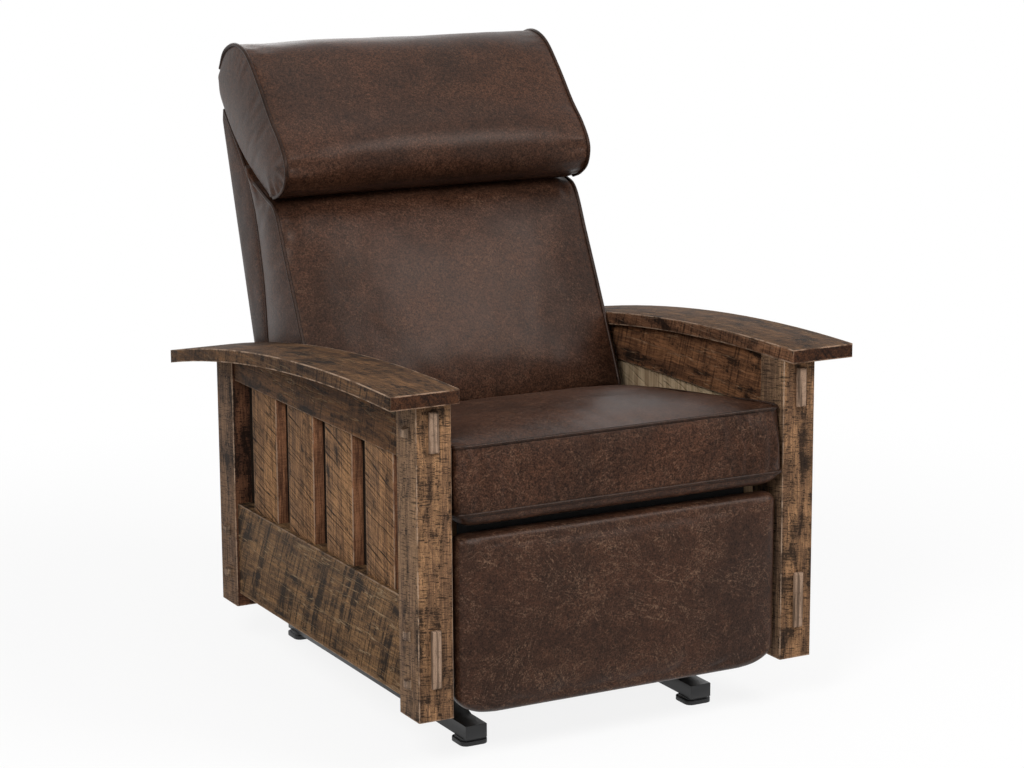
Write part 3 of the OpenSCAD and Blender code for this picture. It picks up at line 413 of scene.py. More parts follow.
def rough_wood(name, look, grain, box, sawn, tint, stain, hatch, bands=0.3, saw=430.0, grooves=0.0,
               checks=0.0, lip=0.0, rub=1.0, sides=None, front_tone_and_shade=None, inwards=None,
               tenons=None, pitch=None, arc=False):
    """Rough-sawn, weathered board: fibres, black stain, saw marks, fine checks and rubbed edges.

    grain is the axis along the fibres, box the board's corners with x made positive, sawn a
    function that gives the direction across the saw marks and the one along them, saw their
    number in a metre. lip is the height of a paler strip along the lower edge. sides tints the
    faces that look sideways and front_tone_and_shade the faces that look forwards, and both say
    how far the stain recedes there; the forward tint is painted shade on the rear legs' fronts
    and on the slats' shaded sides.
    inwards tints the faces that look at the seat."""
    f = Finish(name)
    place = f.place()
    x, y, z = f.parts(place)
    nx, ny, nz = f.facing()
    low, high = box
    middle, half = (low + high) / 2, (high - low) / 2
    if arc:
        rise = z - (ARM_CREST_Z - ARM_RADIUS)
        reach = y - ARM_CREST_Y
        out = (rise * rise + reach * reach) ** 0.5
        dz = ARM_THICK / 2 - abs(out - (ARM_RADIUS - ARM_THICK / 2))
    else:
        dz = half.z - abs(z - middle.z)
    dx = half.x - abs(abs(x) - middle.x)
    inner = abs(x)
    inward = (nx * x).fall(-0.25, -0.05)
    if pitch is None:
        where = place
        dy = half.y - abs(y - middle.y)
    else:
        count = (y - SLAT_FRONT) // pitch
        where = f.shifted(place, f.vector(count * 0.37, count * 0.011, count * 0.41))
        dy = SLAT_WIDTH / 2 - abs((y - SLAT_FRONT) % pitch - SLAT_WIDTH / 2)
        x, y, z = f.parts(where)

    def along(fine, length):
        scale = [fine] * 3
        scale[grain] = length
        return tuple(scale)

    waved = f.warped(where, 6.0, 0.014, 3.0)
    fibre = f.cloud(f.stretched(waved, along(330.0, 13.0)), 1.0, 5.0, 0.66, 0.3)
    streak = f.cloud(f.stretched(waved, along(62.0, 4.0)), 1.0, 5.0, 0.62)
    patch = f.cloud(f.stretched(where, along(42.0, 10.0)), 1.0, 6.0, 0.70, 0.4)
    grit = f.cloud(where, 700.0, 3.0, 0.7)
    cut, run = sawn(x, y, z)
    tooth = f.cloud(f.vector(cut * saw, run * (saw * 0.06), x * 40.0), 1.0, 3.0, 0.6)
    band = f.cloud(f.vector(cut * 52.0, run * 4.0, x * 9.0), 1.0, 4.0, 0.6)

    pale, mid, dark = (tuple(c * t for c, t in zip(shade, tint))
                       for shade in (look.pale, look.mid, look.dark))
    colour = f.blend((fibre * 0.45 + streak * 0.35 + tooth * 0.20).rise(0.42, 0.58), mid, pale)
    colour = f.blend(grit.fall(0.36, 0.50) * 0.30, colour, mid)
    reach = (patch + (band - 0.5) * bands + (tooth - 0.5) * hatch + (fibre - 0.5) * 0.34
             + (grit - 0.5) * 0.24)
    if sides is not None:
        aside = abs(nx).rise(0.6, 0.9)
        reach = reach - aside * sides[1]
    if front_tone_and_shade is not None:
        ahead = (-ny).rise(0.6, 0.9)
        reach = reach - ahead * front_tone_and_shade[1]
    face = abs(ny).fall(0.6, 0.9)
    level = 0.66 - stain * 0.22
    soot = reach.rise(level, level + 0.08)
    colour = f.blend(reach.rise(level - 0.09, level + 0.01) * 0.55, colour, mid)
    colour = f.blend(soot * 0.92, colour, dark)
    teeth = tooth.fall(0.36, 0.44) * (0.25 + hatch * 0.5)
    ridges = (tooth - 0.5) * (0.8 + hatch)
    if pitch is not None:
        teeth, ridges = teeth * face, ridges * face
    colour = f.blend(teeth, colour, dark)
    if lip:
        strip = (z + (fibre - 0.5) * 0.006).fall(low.z + lip - 0.001, low.z + lip)
        colour = f.blend(strip * 0.65, colour, tuple(c * 0.62 for c in look.pale))
    crisp = (fibre - 0.5) * 1.6 + ridges + (grit - 0.5) * 1.5
    colour = f.gain(colour, (1.0 + crisp * 1.15).most(0.3))
    height = fibre * 0.55 + tooth * 0.45 + grit * 0.30 - soot * 0.15
    if grooves:
        wander = f.cloud(f.vector(cut * 34.0, run * 3.2, 0.0), 1.0, 3.0, 0.55)
        ruled = (cut * 92.0 + wander * 3.4) % 1.0
        cuts = abs(ruled - 0.5).fall(0.0, 0.105) * f.cloud(
            f.vector(cut * 70.0, run * 9.0, 5.0), 1.0, 2.0, 0.5).rise(0.42, 0.52) * face
        colour = f.blend(cuts * grooves, colour, tuple(c * 0.7 for c in dark))
        height = height - cuts * 1.6
    if checks:
        bent = f.stretched(f.warped(where, 14.0, 0.005, 3.0), along(46.0, 2.6))
        opened = f.cloud(bent, 1.0, 3.0, 0.5)
        cracks = opened.line(0.5, 0.012) * streak.rise(0.38, 0.46)
        colour = f.blend(cracks * checks, colour, look.check)
        height = height - cracks * 0.9
    if sides is not None:
        colour = f.blend(aside, colour, sides[0], "MULTIPLY")
    # Forward faces are tinted: painted shade on the rear legs and slats, a darker tone on the arms'
    # front ends.
    if front_tone_and_shade is not None:
        colour = f.blend(ahead, colour, front_tone_and_shade[0], "MULTIPLY")
    if inwards is not None:
        colour = f.blend(inward, colour, inwards, "MULTIPLY")

    second = dx.most(dy).least(dx.least(dy).most(dz))
    ragged = f.cloud(place, 240.0, 4.0, 0.7)
    worn = f.cloud(place, 34.0, 4.0, 0.6)
    rubbed = (second - ragged * 0.0032).fall(-0.0006, 0.0007) * (0.15 + worn.rise(0.38, 0.58) * 0.8)
    colour = f.blend((rubbed * rub).least(0.9), colour, look.edge)
    end = abs((nx, ny, nz)[grain]).rise(0.6, 0.9)
    colour = f.blend(end * 0.6, colour, (0.62, 0.50, 0.44), "MULTIPLY")
    if tenons is not None:
        stripe = f.cloud(f.vector(x * 260.0, y * 90.0, z * 9.0), 1.0, 3.0, 0.6)
        tip = f.blend(stripe.rise(0.40, 0.56), tuple(c * 0.36 for c in look.tenon), look.tenon)
        tip = f.blend(grit.fall(0.38, 0.52) * 0.4, tip, look.mid)
        colour = f.blend(y.fall(tenons - 0.0015, tenons), colour, tip)
    if pitch is not None:
        planks = f.cloud(f.vector(x * 20.0, y * 120.0, z * 7.0), 1.0, 4.0, 0.65)
        backer_and_shadow = f.blend(planks.rise(0.36, 0.60), (0.320, 0.215, 0.125), (0.560, 0.420, 0.265))
        backer_and_shadow = f.blend(patch.rise(0.52, 0.62) * 0.4, backer_and_shadow, (0.220, 0.175, 0.110))
        # Painted shadow: the backing board's faces that do not look at the seat are made near-black,
        # for the shade in the gaps between the slats.
        backer_and_shadow = f.blend(inward, dark, backer_and_shadow)
        colour = f.blend(inner.fall(BACKER_FACE - 0.0002, BACKER_FACE), colour, backer_and_shadow)
    roughness = 0.62 + fibre * 0.20
    return f.close(colour, roughness, f.relief(height, 0.80, 0.0018),
                   fixed={"Specular IOR Level": 0.12})


def plywood_finish(name, layers, shade_front_depth=None):
    """Birch plywood: a fine face grain, and glued layers on the edges across one axis.

    Faces in front of the depth shade_front_depth are painted near-black with a cloth weave: painted
    shade for the gap under the seat."""
    f = Finish(name)
    where = f.place()
    parts = f.parts(where)
    facing = f.facing()
    ply = (parts[layers] * (2 * math.pi / 0.003)).sine().rise(-0.35, 0.35)
    scale = [160.0, 160.0, 160.0]
    scale[(layers + 1) % 3] = 5.0
    fibre = f.cloud(f.stretched(f.warped(where, 4.0, 0.03), tuple(scale)), 1.0, 4.0, 0.6)
    tone = f.cloud(where, 7.0, 2.0)
    face = f.blend(fibre.rise(0.35, 0.7), (0.42, 0.27, 0.14), (0.58, 0.41, 0.24))
    face = f.blend(tone.rise(0.4, 0.7) * 0.3, face, (0.36, 0.22, 0.11))
    edge = f.blend(ply, (0.30, 0.18, 0.09), (0.55, 0.38, 0.22))
    on_edge = abs(facing[layers]).fall(0.4, 0.6)
    colour = f.blend(on_edge, face, edge)
    rough = 0.58 + fibre * 0.15
    if shade_front_depth is not None:
        # Painted shade: near-black with a fine weave in front of the given depth, for the gap under
        # the seat.
        weave = (parts[0] * 5200.0).sine() * (parts[2] * 5200.0).sine() * 0.5 + 0.5
        cloth = parts[1].fall(shade_front_depth - 0.0004, shade_front_depth)
        painted_shade_lining = f.blend(weave * 0.6 + tone * 0.4, (0.006, 0.006, 0.006), (0.016, 0.015, 0.014))
        colour = f.blend(cloth, colour, painted_shade_lining)
        rough = rough + cloth * 0.25
    return f.close(colour, rough, f.relief(fibre + ply * on_edge * 0.4, 0.35, 0.0006))


def sanded_wood(name):
    """Sanded hardwood of the rocker cams, with growth lines along their length."""
    f = Finish(name)
    where = f.place()
    waved = f.warped(where, 6.0, 0.03)
    rings = f.cloud(f.stretched(waved, (40.0, 3.0, 90.0)), 1.0, 4.0, 0.6)
    pore = f.cloud(f.stretched(where, (500.0, 18.0, 500.0)), 1.0, 2.0)
    colour = f.blend(rings.rise(0.38, 0.66), (0.42, 0.25, 0.12), (0.55, 0.36, 0.19))
    colour = f.blend(pore.fall(0.32, 0.42) * 0.5, colour, (0.22, 0.12, 0.05))
    return f.close(colour, 0.42 + pore * 0.12, f.relief(rings + pore * 0.5, 0.3, 0.0005))


def painted_steel(name):
    """Black baked paint on steel, with a fine orange-peel and rubbed, dustier patches."""
    f = Finish(name)
    where = f.place()
    peel = f.cloud(where, 900.0, 2.0)
    dust = f.cloud(where, 28.0, 5.0, 0.65)
    shade = f.blend(dust.rise(0.50, 0.75) * 0.45, (0.010, 0.010, 0.011), (0.045, 0.043, 0.041))
    return f.close(shade, 0.30 + dust * 0.20, f.relief(peel, 0.25, 0.0004),
                   fixed={"Coat Roughness": 0.2})


def zinc_finish(name):
    """Zinc-plated steel with a faint crystal pattern and brushed marks."""
    f = Finish(name)
    where = f.place()
    crystal = f.parts(f.cells(where, 190.0, out="Color"))[0]
    cloudy = f.cloud(where, 35.0, 4.0, 0.6)
    brush = f.cloud(f.stretched(where, (900.0, 40.0, 900.0)), 1.0, 2.0)
    shade = f.blend(cloudy.rise(0.35, 0.7), (0.36, 0.37, 0.38), (0.56, 0.57, 0.58))
    shade = f.blend(crystal * 0.25, shade, (0.68, 0.68, 0.66))
    roughness = 0.30 + brush * 0.16 + crystal * 0.05
    return f.close(shade, roughness, f.relief(brush, 0.12, 0.0003), metallic=1.0)


def moulded_plastic(name):
    """Matt black moulded plastic of the glides, with a spark-eroded texture."""
    f = Finish(name)
    where = f.place()
    spark = f.cloud(where, 1400.0, 3.0, 0.7)
    scuff = f.cloud(where, 60.0, 5.0, 0.7)
    shade = f.blend(scuff.rise(0.55, 0.75) * 0.6, (0.012, 0.012, 0.013), (0.05, 0.048, 0.045))
    return f.close(shade, 0.48 + scuff * 0.18, f.relief(spark, 0.4, 0.0003))


def woven_strap(name, along):
    """Jute webbing of warp and weft threads, with an uneven tone."""
    f = Finish(name)
    where = f.place()
    parts = f.parts(where)
    others = [axis for axis in range(3) if axis != along]
    warp = (parts[along] * (2 * math.pi / 0.0032)).sine()
    weft = ((parts[others[0]] + parts[others[1]]) * (2 * math.pi / 0.0026)).sine()
    weave = warp * weft * 0.5 + 0.5
    hair = f.cloud(where, 800.0, 3.0, 0.7)
    tone = f.cloud(where, 18.0, 4.0)
    shade = f.blend(weave, (0.20, 0.145, 0.085), (0.40, 0.31, 0.20))
    shade = f.blend(tone.rise(0.4, 0.7) * 0.35, shade, (0.24, 0.17, 0.10))
    return f.close(shade, 0.80 + hair * 0.12, f.relief(weave + hair * 0.4, 0.6, 0.0008))


# ---------------------------------------- mesh work


CLOTH_FRAMES = 20
LEATHER_STIFFNESS = 12.0
FILLING_PRESSURE = 4.0
CALM_SHARE = 0.6


def add_object(name, data):
    """A new object of the scene."""
    made = bpy.data.objects.new(name, data)
    bpy.context.scene.collection.objects.link(made)
    return made


def smooth(mesh):
    for polygon in mesh.polygons:
        polygon.use_smooth = True


class Path:
    """A smooth line through points of a plane, read at a share of its length."""

    FINE = 12

    def __init__(self, points):
        points = [Vector(p) for p in points]
        self.points = [points[0].copy()]
        ends = [points[0] * 2 - points[1]] + points + [points[-1] * 2 - points[-2]]
        for a, b, c, d in zip(ends, ends[1:], ends[2:], ends[3:]):
            for i in range(1, self.FINE + 1):
                t = i / self.FINE
                self.points.append(
                    b + (c - a) * (t / 2) + (a * 2 - b * 5 + c * 4 - d) * (t * t / 2)
                    + (b * 3 - a - c * 3 + d) * (t * t * t / 2))
        self.lengths = [0.0]
        for a, b in zip(self.points, self.points[1:]):
            self.lengths.append(self.lengths[-1] + (b - a).length)

    def at(self, share):
        """The point at a share of the length."""
        aim = min(1.0, max(0.0, share)) * self.lengths[-1]
        low, high = 0, len(self.lengths) - 1
        while high - low > 1:
            mid = (low + high) // 2
            if self.lengths[mid] <= aim:
                low = mid
            else:
                high = mid
        span = self.lengths[high] - self.lengths[low]
        part = (aim - self.lengths[low]) / span if span else 0.0
        return self.points[low].lerp(self.points[high], part)


def spread(count, ends):
    """Values from -1 to 1 that lie closer together towards the ends."""
    even = (2 * i / count - 1 for i in range(count + 1))
    return [mix(t, math.sin(t * math.pi / 2), ends) for t in even]


class Pad:
    """A closed pad of two gridded faces and the border between them.

    place(u, v, t) gives a point: u and v run from -1 to 1 over a face, t from 0 on the first face,
    along the border, to 1 on the second."""

    def __init__(self, name, us, vs, ts, place):
        self.name = name
        self.spots = []
        index = {}
        last_u, last_v, last_t = len(us) - 1, len(vs) - 1, len(ts) - 1
        points, faces = [], []

        def corner(i, j, k):
            if (i, j, k) not in index:
                index[i, j, k] = len(points)
                points.append(place(us[i], vs[j], ts[k]))
                self.spots.append((us[i], vs[j], ts[k]))
            return index[i, j, k]

        for k, turned in ((0, True), (last_t, False)):
            for i in range(last_u):
                for j in range(last_v):
                    around = ((i, j), (i + 1, j), (i + 1, j + 1), (i, j + 1))
                    quad = [corner(p, q, k) for p, q in around]
                    faces.append(quad[::-1] if turned else quad)
        ring = [(i, 0) for i in range(last_u)] + [(last_u, j) for j in range(last_v)]
        ring += [(i, last_v) for i in range(last_u, 0, -1)]
        ring += [(0, j) for j in range(last_v, 0, -1)]
        for k in range(last_t):
            for (i, j), (p, q) in zip(ring, ring[1:] + ring[:1]):
                faces.append([corner(i, j, k), corner(p, q, k),
                              corner(p, q, k + 1), corner(i, j, k + 1)])
        self.rings = [[index[i, j, k] for i, j in ring] for k in range(last_t + 1)]
        self.ring_spots = [(us[i], vs[j]) for i, j in ring]
        self.mesh = bpy.data.meshes.new(name)
        self.mesh.from_pydata(points, [], faces)
        self.mesh.update()
        if volume(self.mesh) < 0:
            self.mesh.flip_normals()
        smooth(self.mesh)
        self.object = add_object(name, self.mesh)

    def inflate(self, pinned, reach, slack):
        """Swells the pad by cloth pressure with its seams pinned, and limits how far a point moves.

        pinned(u, v, t) says where the leather is sewn down, reach(u, v, t) how far it may move."""
        start = [v.co.copy() for v in self.mesh.vertices]
        sewn = self.object.vertex_groups.new(name="sewn")
        sewn.add([i for i, spot in enumerate(self.spots) if pinned(*spot)], 1.0, "REPLACE")
        cloth = self.object.modifiers.new("Filling", "CLOTH")
        settings = cloth.settings
        settings.quality = 5
        settings.mass = 0.25
        settings.tension_stiffness = settings.compression_stiffness = LEATHER_STIFFNESS
        settings.shear_stiffness = LEATHER_STIFFNESS / 2
        settings.bending_stiffness = 1.2
        settings.use_pressure = True
        settings.uniform_pressure_force = FILLING_PRESSURE
        settings.shrink_min = -slack
        settings.vertex_group_mass = sewn.name
        settings.pin_stiffness = 1.0
        settings.effector_weights.gravity = 0.0
        cloth.collision_settings.use_collision = False
        cloth.collision_settings.use_self_collision = False
        cloth.point_cache.frame_start = 1
        cloth.point_cache.frame_end = CLOTH_FRAMES
        scene = bpy.context.scene
        for number in range(1, CLOTH_FRAMES + 1):
            scene.frame_set(number)
        filled = self.object.evaluated_get(bpy.context.evaluated_depsgraph_get()).to_mesh()
        moved = [v.co.copy() for v in filled.vertices]
        self.object.evaluated_get(bpy.context.evaluated_depsgraph_get()).to_mesh_clear()
        self.object.modifiers.remove(cloth)
        self.object.vertex_groups.remove(sewn)
        scene.frame_set(1)
        for vertex, base, free, spot in zip(self.mesh.vertices, start, moved, self.spots):
            push = free - base
            limit = reach(*spot)
            if limit <= 0 or push.length == 0:
                continue
            size = limit * math.tanh(push.length / limit)
            vertex.co = base + push.normalized() * size
        self.mesh.update()

    def calm(self, rounds, where):
        """Evens out the buckles that the pressure leaves, as much as where(u, v, t) says."""
        beside = [[] for _ in self.mesh.vertices]
        for edge in self.mesh.edges:
            a, b = edge.vertices
            beside[a].append(b)
            beside[b].append(a)
        shares = [where(*spot) for spot in self.spots]
        points = [v.co.copy() for v in self.mesh.vertices]
        for _ in range(rounds):
            points = [
                point.lerp(sum((points[j] for j in near), Vector()) / len(near), share * CALM_SHARE)
                if share > 0 else point
                for point, near, share in zip(points, beside, shares)]
        for vertex, point in zip(self.mesh.vertices, points):
            vertex.co = point
        self.mesh.update()

    def gather(self, seam, depth, pitch, reach, where):
        """Small folds that run away from a seam and fade out, as deep as where(u, v, t) says."""
        finder = kdtree.KDTree(len(seam))
        run, length = [], 0.0
        for i, point in enumerate(seam):
            length += (point - seam[i - 1]).length if i else 0.0
            run.append(length)
            finder.insert(point, i)
        finder.balance()
        normals = [v.normal.copy() for v in self.mesh.vertices]
        for vertex, normal, spot in zip(self.mesh.vertices, normals, self.spots):
            share = where(*spot)
            if share <= 0:
                continue
            _, nearest, off = finder.find(vertex.co)
            if off > reach * 2.2:
                continue
            along = run[nearest] / pitch
            fold = noise.noise(Vector((along, off / (pitch * 5), 3.7)))
            fold = fold - 0.7 * abs(noise.noise(Vector((along * 0.8, off / (pitch * 6), 9.1))))
            fade = math.exp(-((off / reach) ** 2)) * (1 - math.exp(-((off / 0.006) ** 2)))
            vertex.co += normal * (depth * share * fold * fade)
        self.mesh.update()

    def ripple(self, depth, scale, where, seed=0.0):
        """Soft unevenness of the filling: scale gives the folds per metre along each axis."""
        normals = [v.normal.copy() for v in self.mesh.vertices]
        for vertex, normal, spot in zip(self.mesh.vertices, normals, self.spots):
            share = where(*spot)
            if share > 0:
                point = Vector(a * b for a, b in zip(vertex.co, scale))
                lift = noise.fractal(point + Vector((seed, seed, seed)), 1.0, 2.0, 3)
                vertex.co += normal * (depth * share * lift)
        self.mesh.update()

    def refine(self):
        """Divides every face in four, so that the mesh can hold small folds."""
        marks = self.mesh.attributes.new("spot", "FLOAT_VECTOR", "POINT")
        marks.data.foreach_set("vector", [part for spot in self.spots for part in spot])
        finer = self.object.modifiers.new("Finer", "SUBSURF")
        finer.levels = finer.render_levels = 1
        shape = self.object.evaluated_get(bpy.context.evaluated_depsgraph_get())
        mesh = bpy.data.meshes.new_from_object(shape)
        self.object.modifiers.remove(finer)
        self.object.data = mesh
        bpy.data.meshes.remove(self.mesh)
        mesh.name = self.name
        self.mesh = mesh
        flat = [0.0] * (3 * len(mesh.vertices))
        marks = mesh.attributes["spot"]
        marks.data.foreach_get("vector", flat)
        self.spots = list(zip(flat[0::3], flat[1::3], flat[2::3]))
        mesh.attributes.remove(marks)

    def dress(self, material, body, *nodes, fill=0.75):
        """Gives the pad its leather, its body and the solids that it stands for."""
        self.mesh.materials.append(material)
        smooth(self.mesh)
        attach(self.object, body)
        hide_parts(*nodes)


def volume(mesh):
    """Signed volume of a closed mesh, six times over."""
    mesh.calc_loop_triangles()
    total = 0.0
    for triangle in mesh.loop_triangles:
        a, b, c = (mesh.vertices[i].co for i in triangle.vertices)
        total += a.dot(b.cross(c))
    return total


def rounded(u, v, half_x, half_y, low, high):
    """The square's point (u, v) in a rectangle whose corners are rounded by (width, height)."""
    y = v * half_y
    wide, tall = low if v < 0 else high
    past = min(1.0, max(0.0, (abs(y) - (half_y - tall)) / tall))
    return u * (half_x - wide * (1 - math.sqrt(1 - past * past))), y


def piping(name, points, radius, material, body, closed=False):
    """A cord sewn into a strip of leather, along a seam."""
    curve = bpy.data.curves.new(name, "CURVE")
    curve.dimensions = "3D"
    curve.bevel_depth = radius
    curve.bevel_resolution = 3
    curve.resolution_u = 2
    curve.use_fill_caps = True
    spline = curve.splines.new("POLY")
    spline.points.add(len(points) - 1)
    for knot, point in zip(spline.points, points):
        knot.co = (*point, 1.0)
    spline.use_cyclic_u = closed
    curve.materials.append(material)
    cord = add_object(name, curve)
    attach(cord, body)


def ease_edges(name, width):
    """Small rounded edges on a rigid solid, so that they catch the light."""
    node = NODES[name]
    smooth(node.data)
    weld = node.modifiers.new("Joined faces", "WELD")
    weld.merge_threshold = 0.00002
    bevel = node.modifiers.new("Eased edges", "BEVEL")
    bevel.width = width
    bevel.segments = 2
    bevel.limit_method = "ANGLE"
    bevel.angle_limit = math.radians(38)
    bevel.harden_normals = True
    bevel.use_clamp_overlap = True


def dress_node(name, material, edge=0.0):
    """Puts a finish on one of the frame's own solids."""
    node = NODES[name]
    node.data.materials.clear()
    node.data.materials.append(material)
    for polygon in node.data.polygons:
        polygon.material_index = 0
    if edge:
        ease_edges(name, edge)


def both(name):
    """The names of the left and right nodes of a pair."""
    return [name + "_left", name + "_right"]


# ---------------------------------------- rigid pieces


SHADE_LINING_DEPTH = 0.001
SLAT_PITCH = 0.158
SLAT_WIDTH = 0.106
SLAT_FRONT = 0.111 - CENTRE_Y / 1000
BACKER_FACE = 0.3434


def sawn_level(x, y, z):
    """Saw marks across an upright board."""
    return z + x * 0.12 + y * 0.12, x + y


def sawn_slanting(x, y, z):
    """Straight saw marks that lean, as on the slats."""
    return z * 0.958 - y * 0.287, y * 0.958 + z * 0.287


def sawn_curved(x, y, z):
    """Bowed saw marks, as a round blade leaves."""
    bent = z - 0.2
    return y + bent * 0.48 + bent * bent * 0.9, z


def sawn_steep(x, y, z):
    """Steep saw marks across a lengthwise board."""
    return y * 0.95 + z * 0.30 + x * 0.25, z + x


class RECLINER_OT_boards(bpy.types.Operator):
    """Rough, weathered wood on the legs, rails, slats, arms and pegs"""

    bl_idname = "recliner.boards"
    bl_label = "Weathered boards"

    def execute(self, context):
        look = context.scene.recliner_wood
        front = -CENTRE_Y / 1000
        plans = (
            ("front_leg", 2, sawn_level, 0.0015, dict(
                tint=(1.04, 0.99, 0.94), stain=0.64, hatch=0.70, sides=((0.84, 0.93, 1.06), 0.05),
                rub=1.1)),
            ("rear_leg", 2, sawn_level, 0.0015, dict(
                tint=(0.92, 0.92, 0.95), stain=0.62, hatch=0.55, sides=((0.85, 0.88, 0.95), 0.03),
                # Painted shade: the rear legs' forward faces are made darker and redder.
                front_tone_and_shade=((0.55, 0.42, 0.40), 0.0))),
            ("lower_rail", 1, sawn_curved, 0.0018, dict(
                tint=(0.72, 0.70, 0.62), stain=0.50, hatch=0.85, bands=0.95, saw=175.0, checks=0.85,
                lip=0.007, rub=0.8, tenons=front)),
            ("upper_rail", 1, sawn_steep, 0.0015, dict(
                tint=(0.47, 0.40, 0.34), stain=0.50, hatch=0.35, saw=170.0, checks=0.3, rub=0.6,
                inwards=(1.85, 1.75, 1.85), tenons=front)),
            ("slats", 2, sawn_slanting, 0.0012, dict(
                tint=(1.00, 0.93, 0.84), stain=0.30, hatch=0.35, bands=0.50, grooves=1.0,
                # Painted shade: the slats' forward sides get a darker, pinker tone.
                pitch=SLAT_PITCH, front_tone_and_shade=((0.92, 0.78, 0.84), 0.14), rub=0.8)),
            ("arm", 1, sawn_steep, 0.0018, dict(
                tint=(0.44, 0.40, 0.36), stain=0.52, hatch=0.60, bands=0.35, saw=210.0,
                checks=0.25, arc=True, inwards=(1.65, 1.55, 1.75),
                front_tone_and_shade=((0.50, 0.42, 0.43), 0.2))),
        )
        for name, grain, sawn, edge, more in plans:
            finish = rough_wood("rough_" + name, look, grain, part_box(name + "_left"), sawn, **more)
            for node in both(name):
                dress_node(node, finish, edge)
        pegs = rough_wood("rough_peg", look, 2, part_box("frame_pegs"), sawn_level,
                          tint=(0.85, 1.02, 1.30), stain=0.1, hatch=0.2,
                          sides=((1.3, 1.3, 1.35), 0.1), rub=0.5)
        dress_node("frame_pegs", pegs, 0.0015)
        return {"FINISHED"}


class RECLINER_OT_steel(bpy.types.Operator):
    """Painted and plated steel, and the plastic of the glides"""

    bl_idname = "recliner.steel"
    bl_label = "Steel and plastic"

    def execute(self, context):
        black = painted_steel("black_paint")
        zinc = zinc_finish("zinc_plating")
        for name in both("base_rail") + ["base_front_crossbar", "base_rear_crossbar"]:
            dress_node(name, black, 0.0006)
        tubes = ["frame_front_tube", "frame_rear_tube"]
        for name in both("frame_plate") + both("seat_plate") + tubes:
            dress_node(name, black, 0.0004)
        plated = ["spring_lower_brackets", "spring_upper_brackets", "frame_bolts", "torque_tube"]
        for name in ("lift_link", "rear_link", "front_link", "carrier_link", "control_link",
                     "footrest_bracket", "back_bracket"):
            plated += both(name)
        for name in plated:
            dress_node(name, zinc, 0.0003)
        self.bending_coils(zinc)
        dress_node("foot_glides", moulded_plastic("glide_plastic_finish"), 0.0008)
        return {"FINISHED"}

    def bending_coils(self, finish):
        """A still copy of the rocker springs in the zinc finish, in place of the frame's own; the
        real springs bend between their two brackets as the chair rocks.
        """
        mesh = NODES["rocker_springs"].data.copy()
        mesh.name = "rocker_coils"
        mesh.materials.clear()
        mesh.materials.append(finish)
        smooth(mesh)
        for polygon in mesh.polygons:
            polygon.material_index = 0
        coils = add_object("rocker_coils", mesh)
        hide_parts("rocker_springs")
        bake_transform(coils)


class RECLINER_OT_inner_wood(bpy.types.Operator):
    """Plywood of the seat box, back frame and footrest board, the sanded cams, and the webbing"""

    bl_idname = "recliner.inner_wood"
    bl_label = "Plywood, cams and webbing"

    def execute(self, context):
        sideways = plywood_finish("plywood_upright", 0)
        frontways = plywood_finish("plywood_crosswise", 1)
        for name in ["seat_rail_left"] + both("back_post"):
            dress_node(name, sideways, 0.0008)
        for name in ("back_cross_rails", "footrest_board"):
            dress_node(name, frontways, 0.0008)
        # The front faces of the seat's cross rails and right rail are painted near-black: painted
        # shade in the gap under the seat.
        for name, finish, layers, edge in (("seat_cross_rails", "plywood_painted_shade", 1, 0.0004),
                                           ("seat_rail_right", "plywood_rail_painted_shade", 0, 0.0008)):
            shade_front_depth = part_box(name)[0].y + SHADE_LINING_DEPTH
            dress_node(name, plywood_finish(finish, layers, shade_front_depth), edge)
        cams = sanded_wood("sanded_cams")
        for name in both("rocker_cam"):
            dress_node(name, cams, 0.0012)
        dress_node("seat_webbing", woven_strap("jute_webbing_seat", 0))
        dress_node("back_webbing", woven_strap("jute_webbing_back", 0))
        return {"FINISHED"}


# ---------------------------------------- soft pieces


# Half widths and heights of the seat, and outlines of depth and height, in millimetres
SEAT_HALF = 305.0
SEAT_SEAM_Z = 429
SEAT_REST_Z = 424
CUSHION_HALF = 304.5
SEAT_TOP = Path([(-14, 540), (-0.5, 539), (50, 538), (209, 519), (399, 497), (490, 478), (544, 456),
                 (560, 447)])
SEAT_UNDER = Path([(-13, 429), (-9, 420), (0, 411.5), (16, 407), (33, 408), (41.5, 413), (44, 421),
                   (48, 424), (120, 424), (300, 424), (450, 424), (538, 424)])


def over_face(across, upwards):
    """A share that is full over the outer face, and fades towards its edges."""
    return lambda u, v, t: (1 - abs(u) ** across) * (1 - abs(v) ** upwards) if t > 0.99 else 0


def off_edges(u, v, t):
    """A share that is full over the outer face, and stops close to its seams."""
    return 1 - max(abs(u), abs(v)) ** 12 if t == 1 else 0


def sewn_round(u, v, t):
    """Whether a point lies on the hidden face or on the seam round the outer face."""
    return t == 0 or (t == 1 and (abs(u) == 1 or abs(v) == 1))


def seat_edge_height(y):
    """Height of the seat's upper seam at a depth."""
    points = SEAT_TOP.points
    for a, b in zip(points, points[1:]):
        if a.x <= y <= b.x:
            return mix(a.y, b.y, (y - a.x) / (b.x - a.x) if b.x > a.x else 0)
    return points[0].y if y < points[0].x else points[-1].y


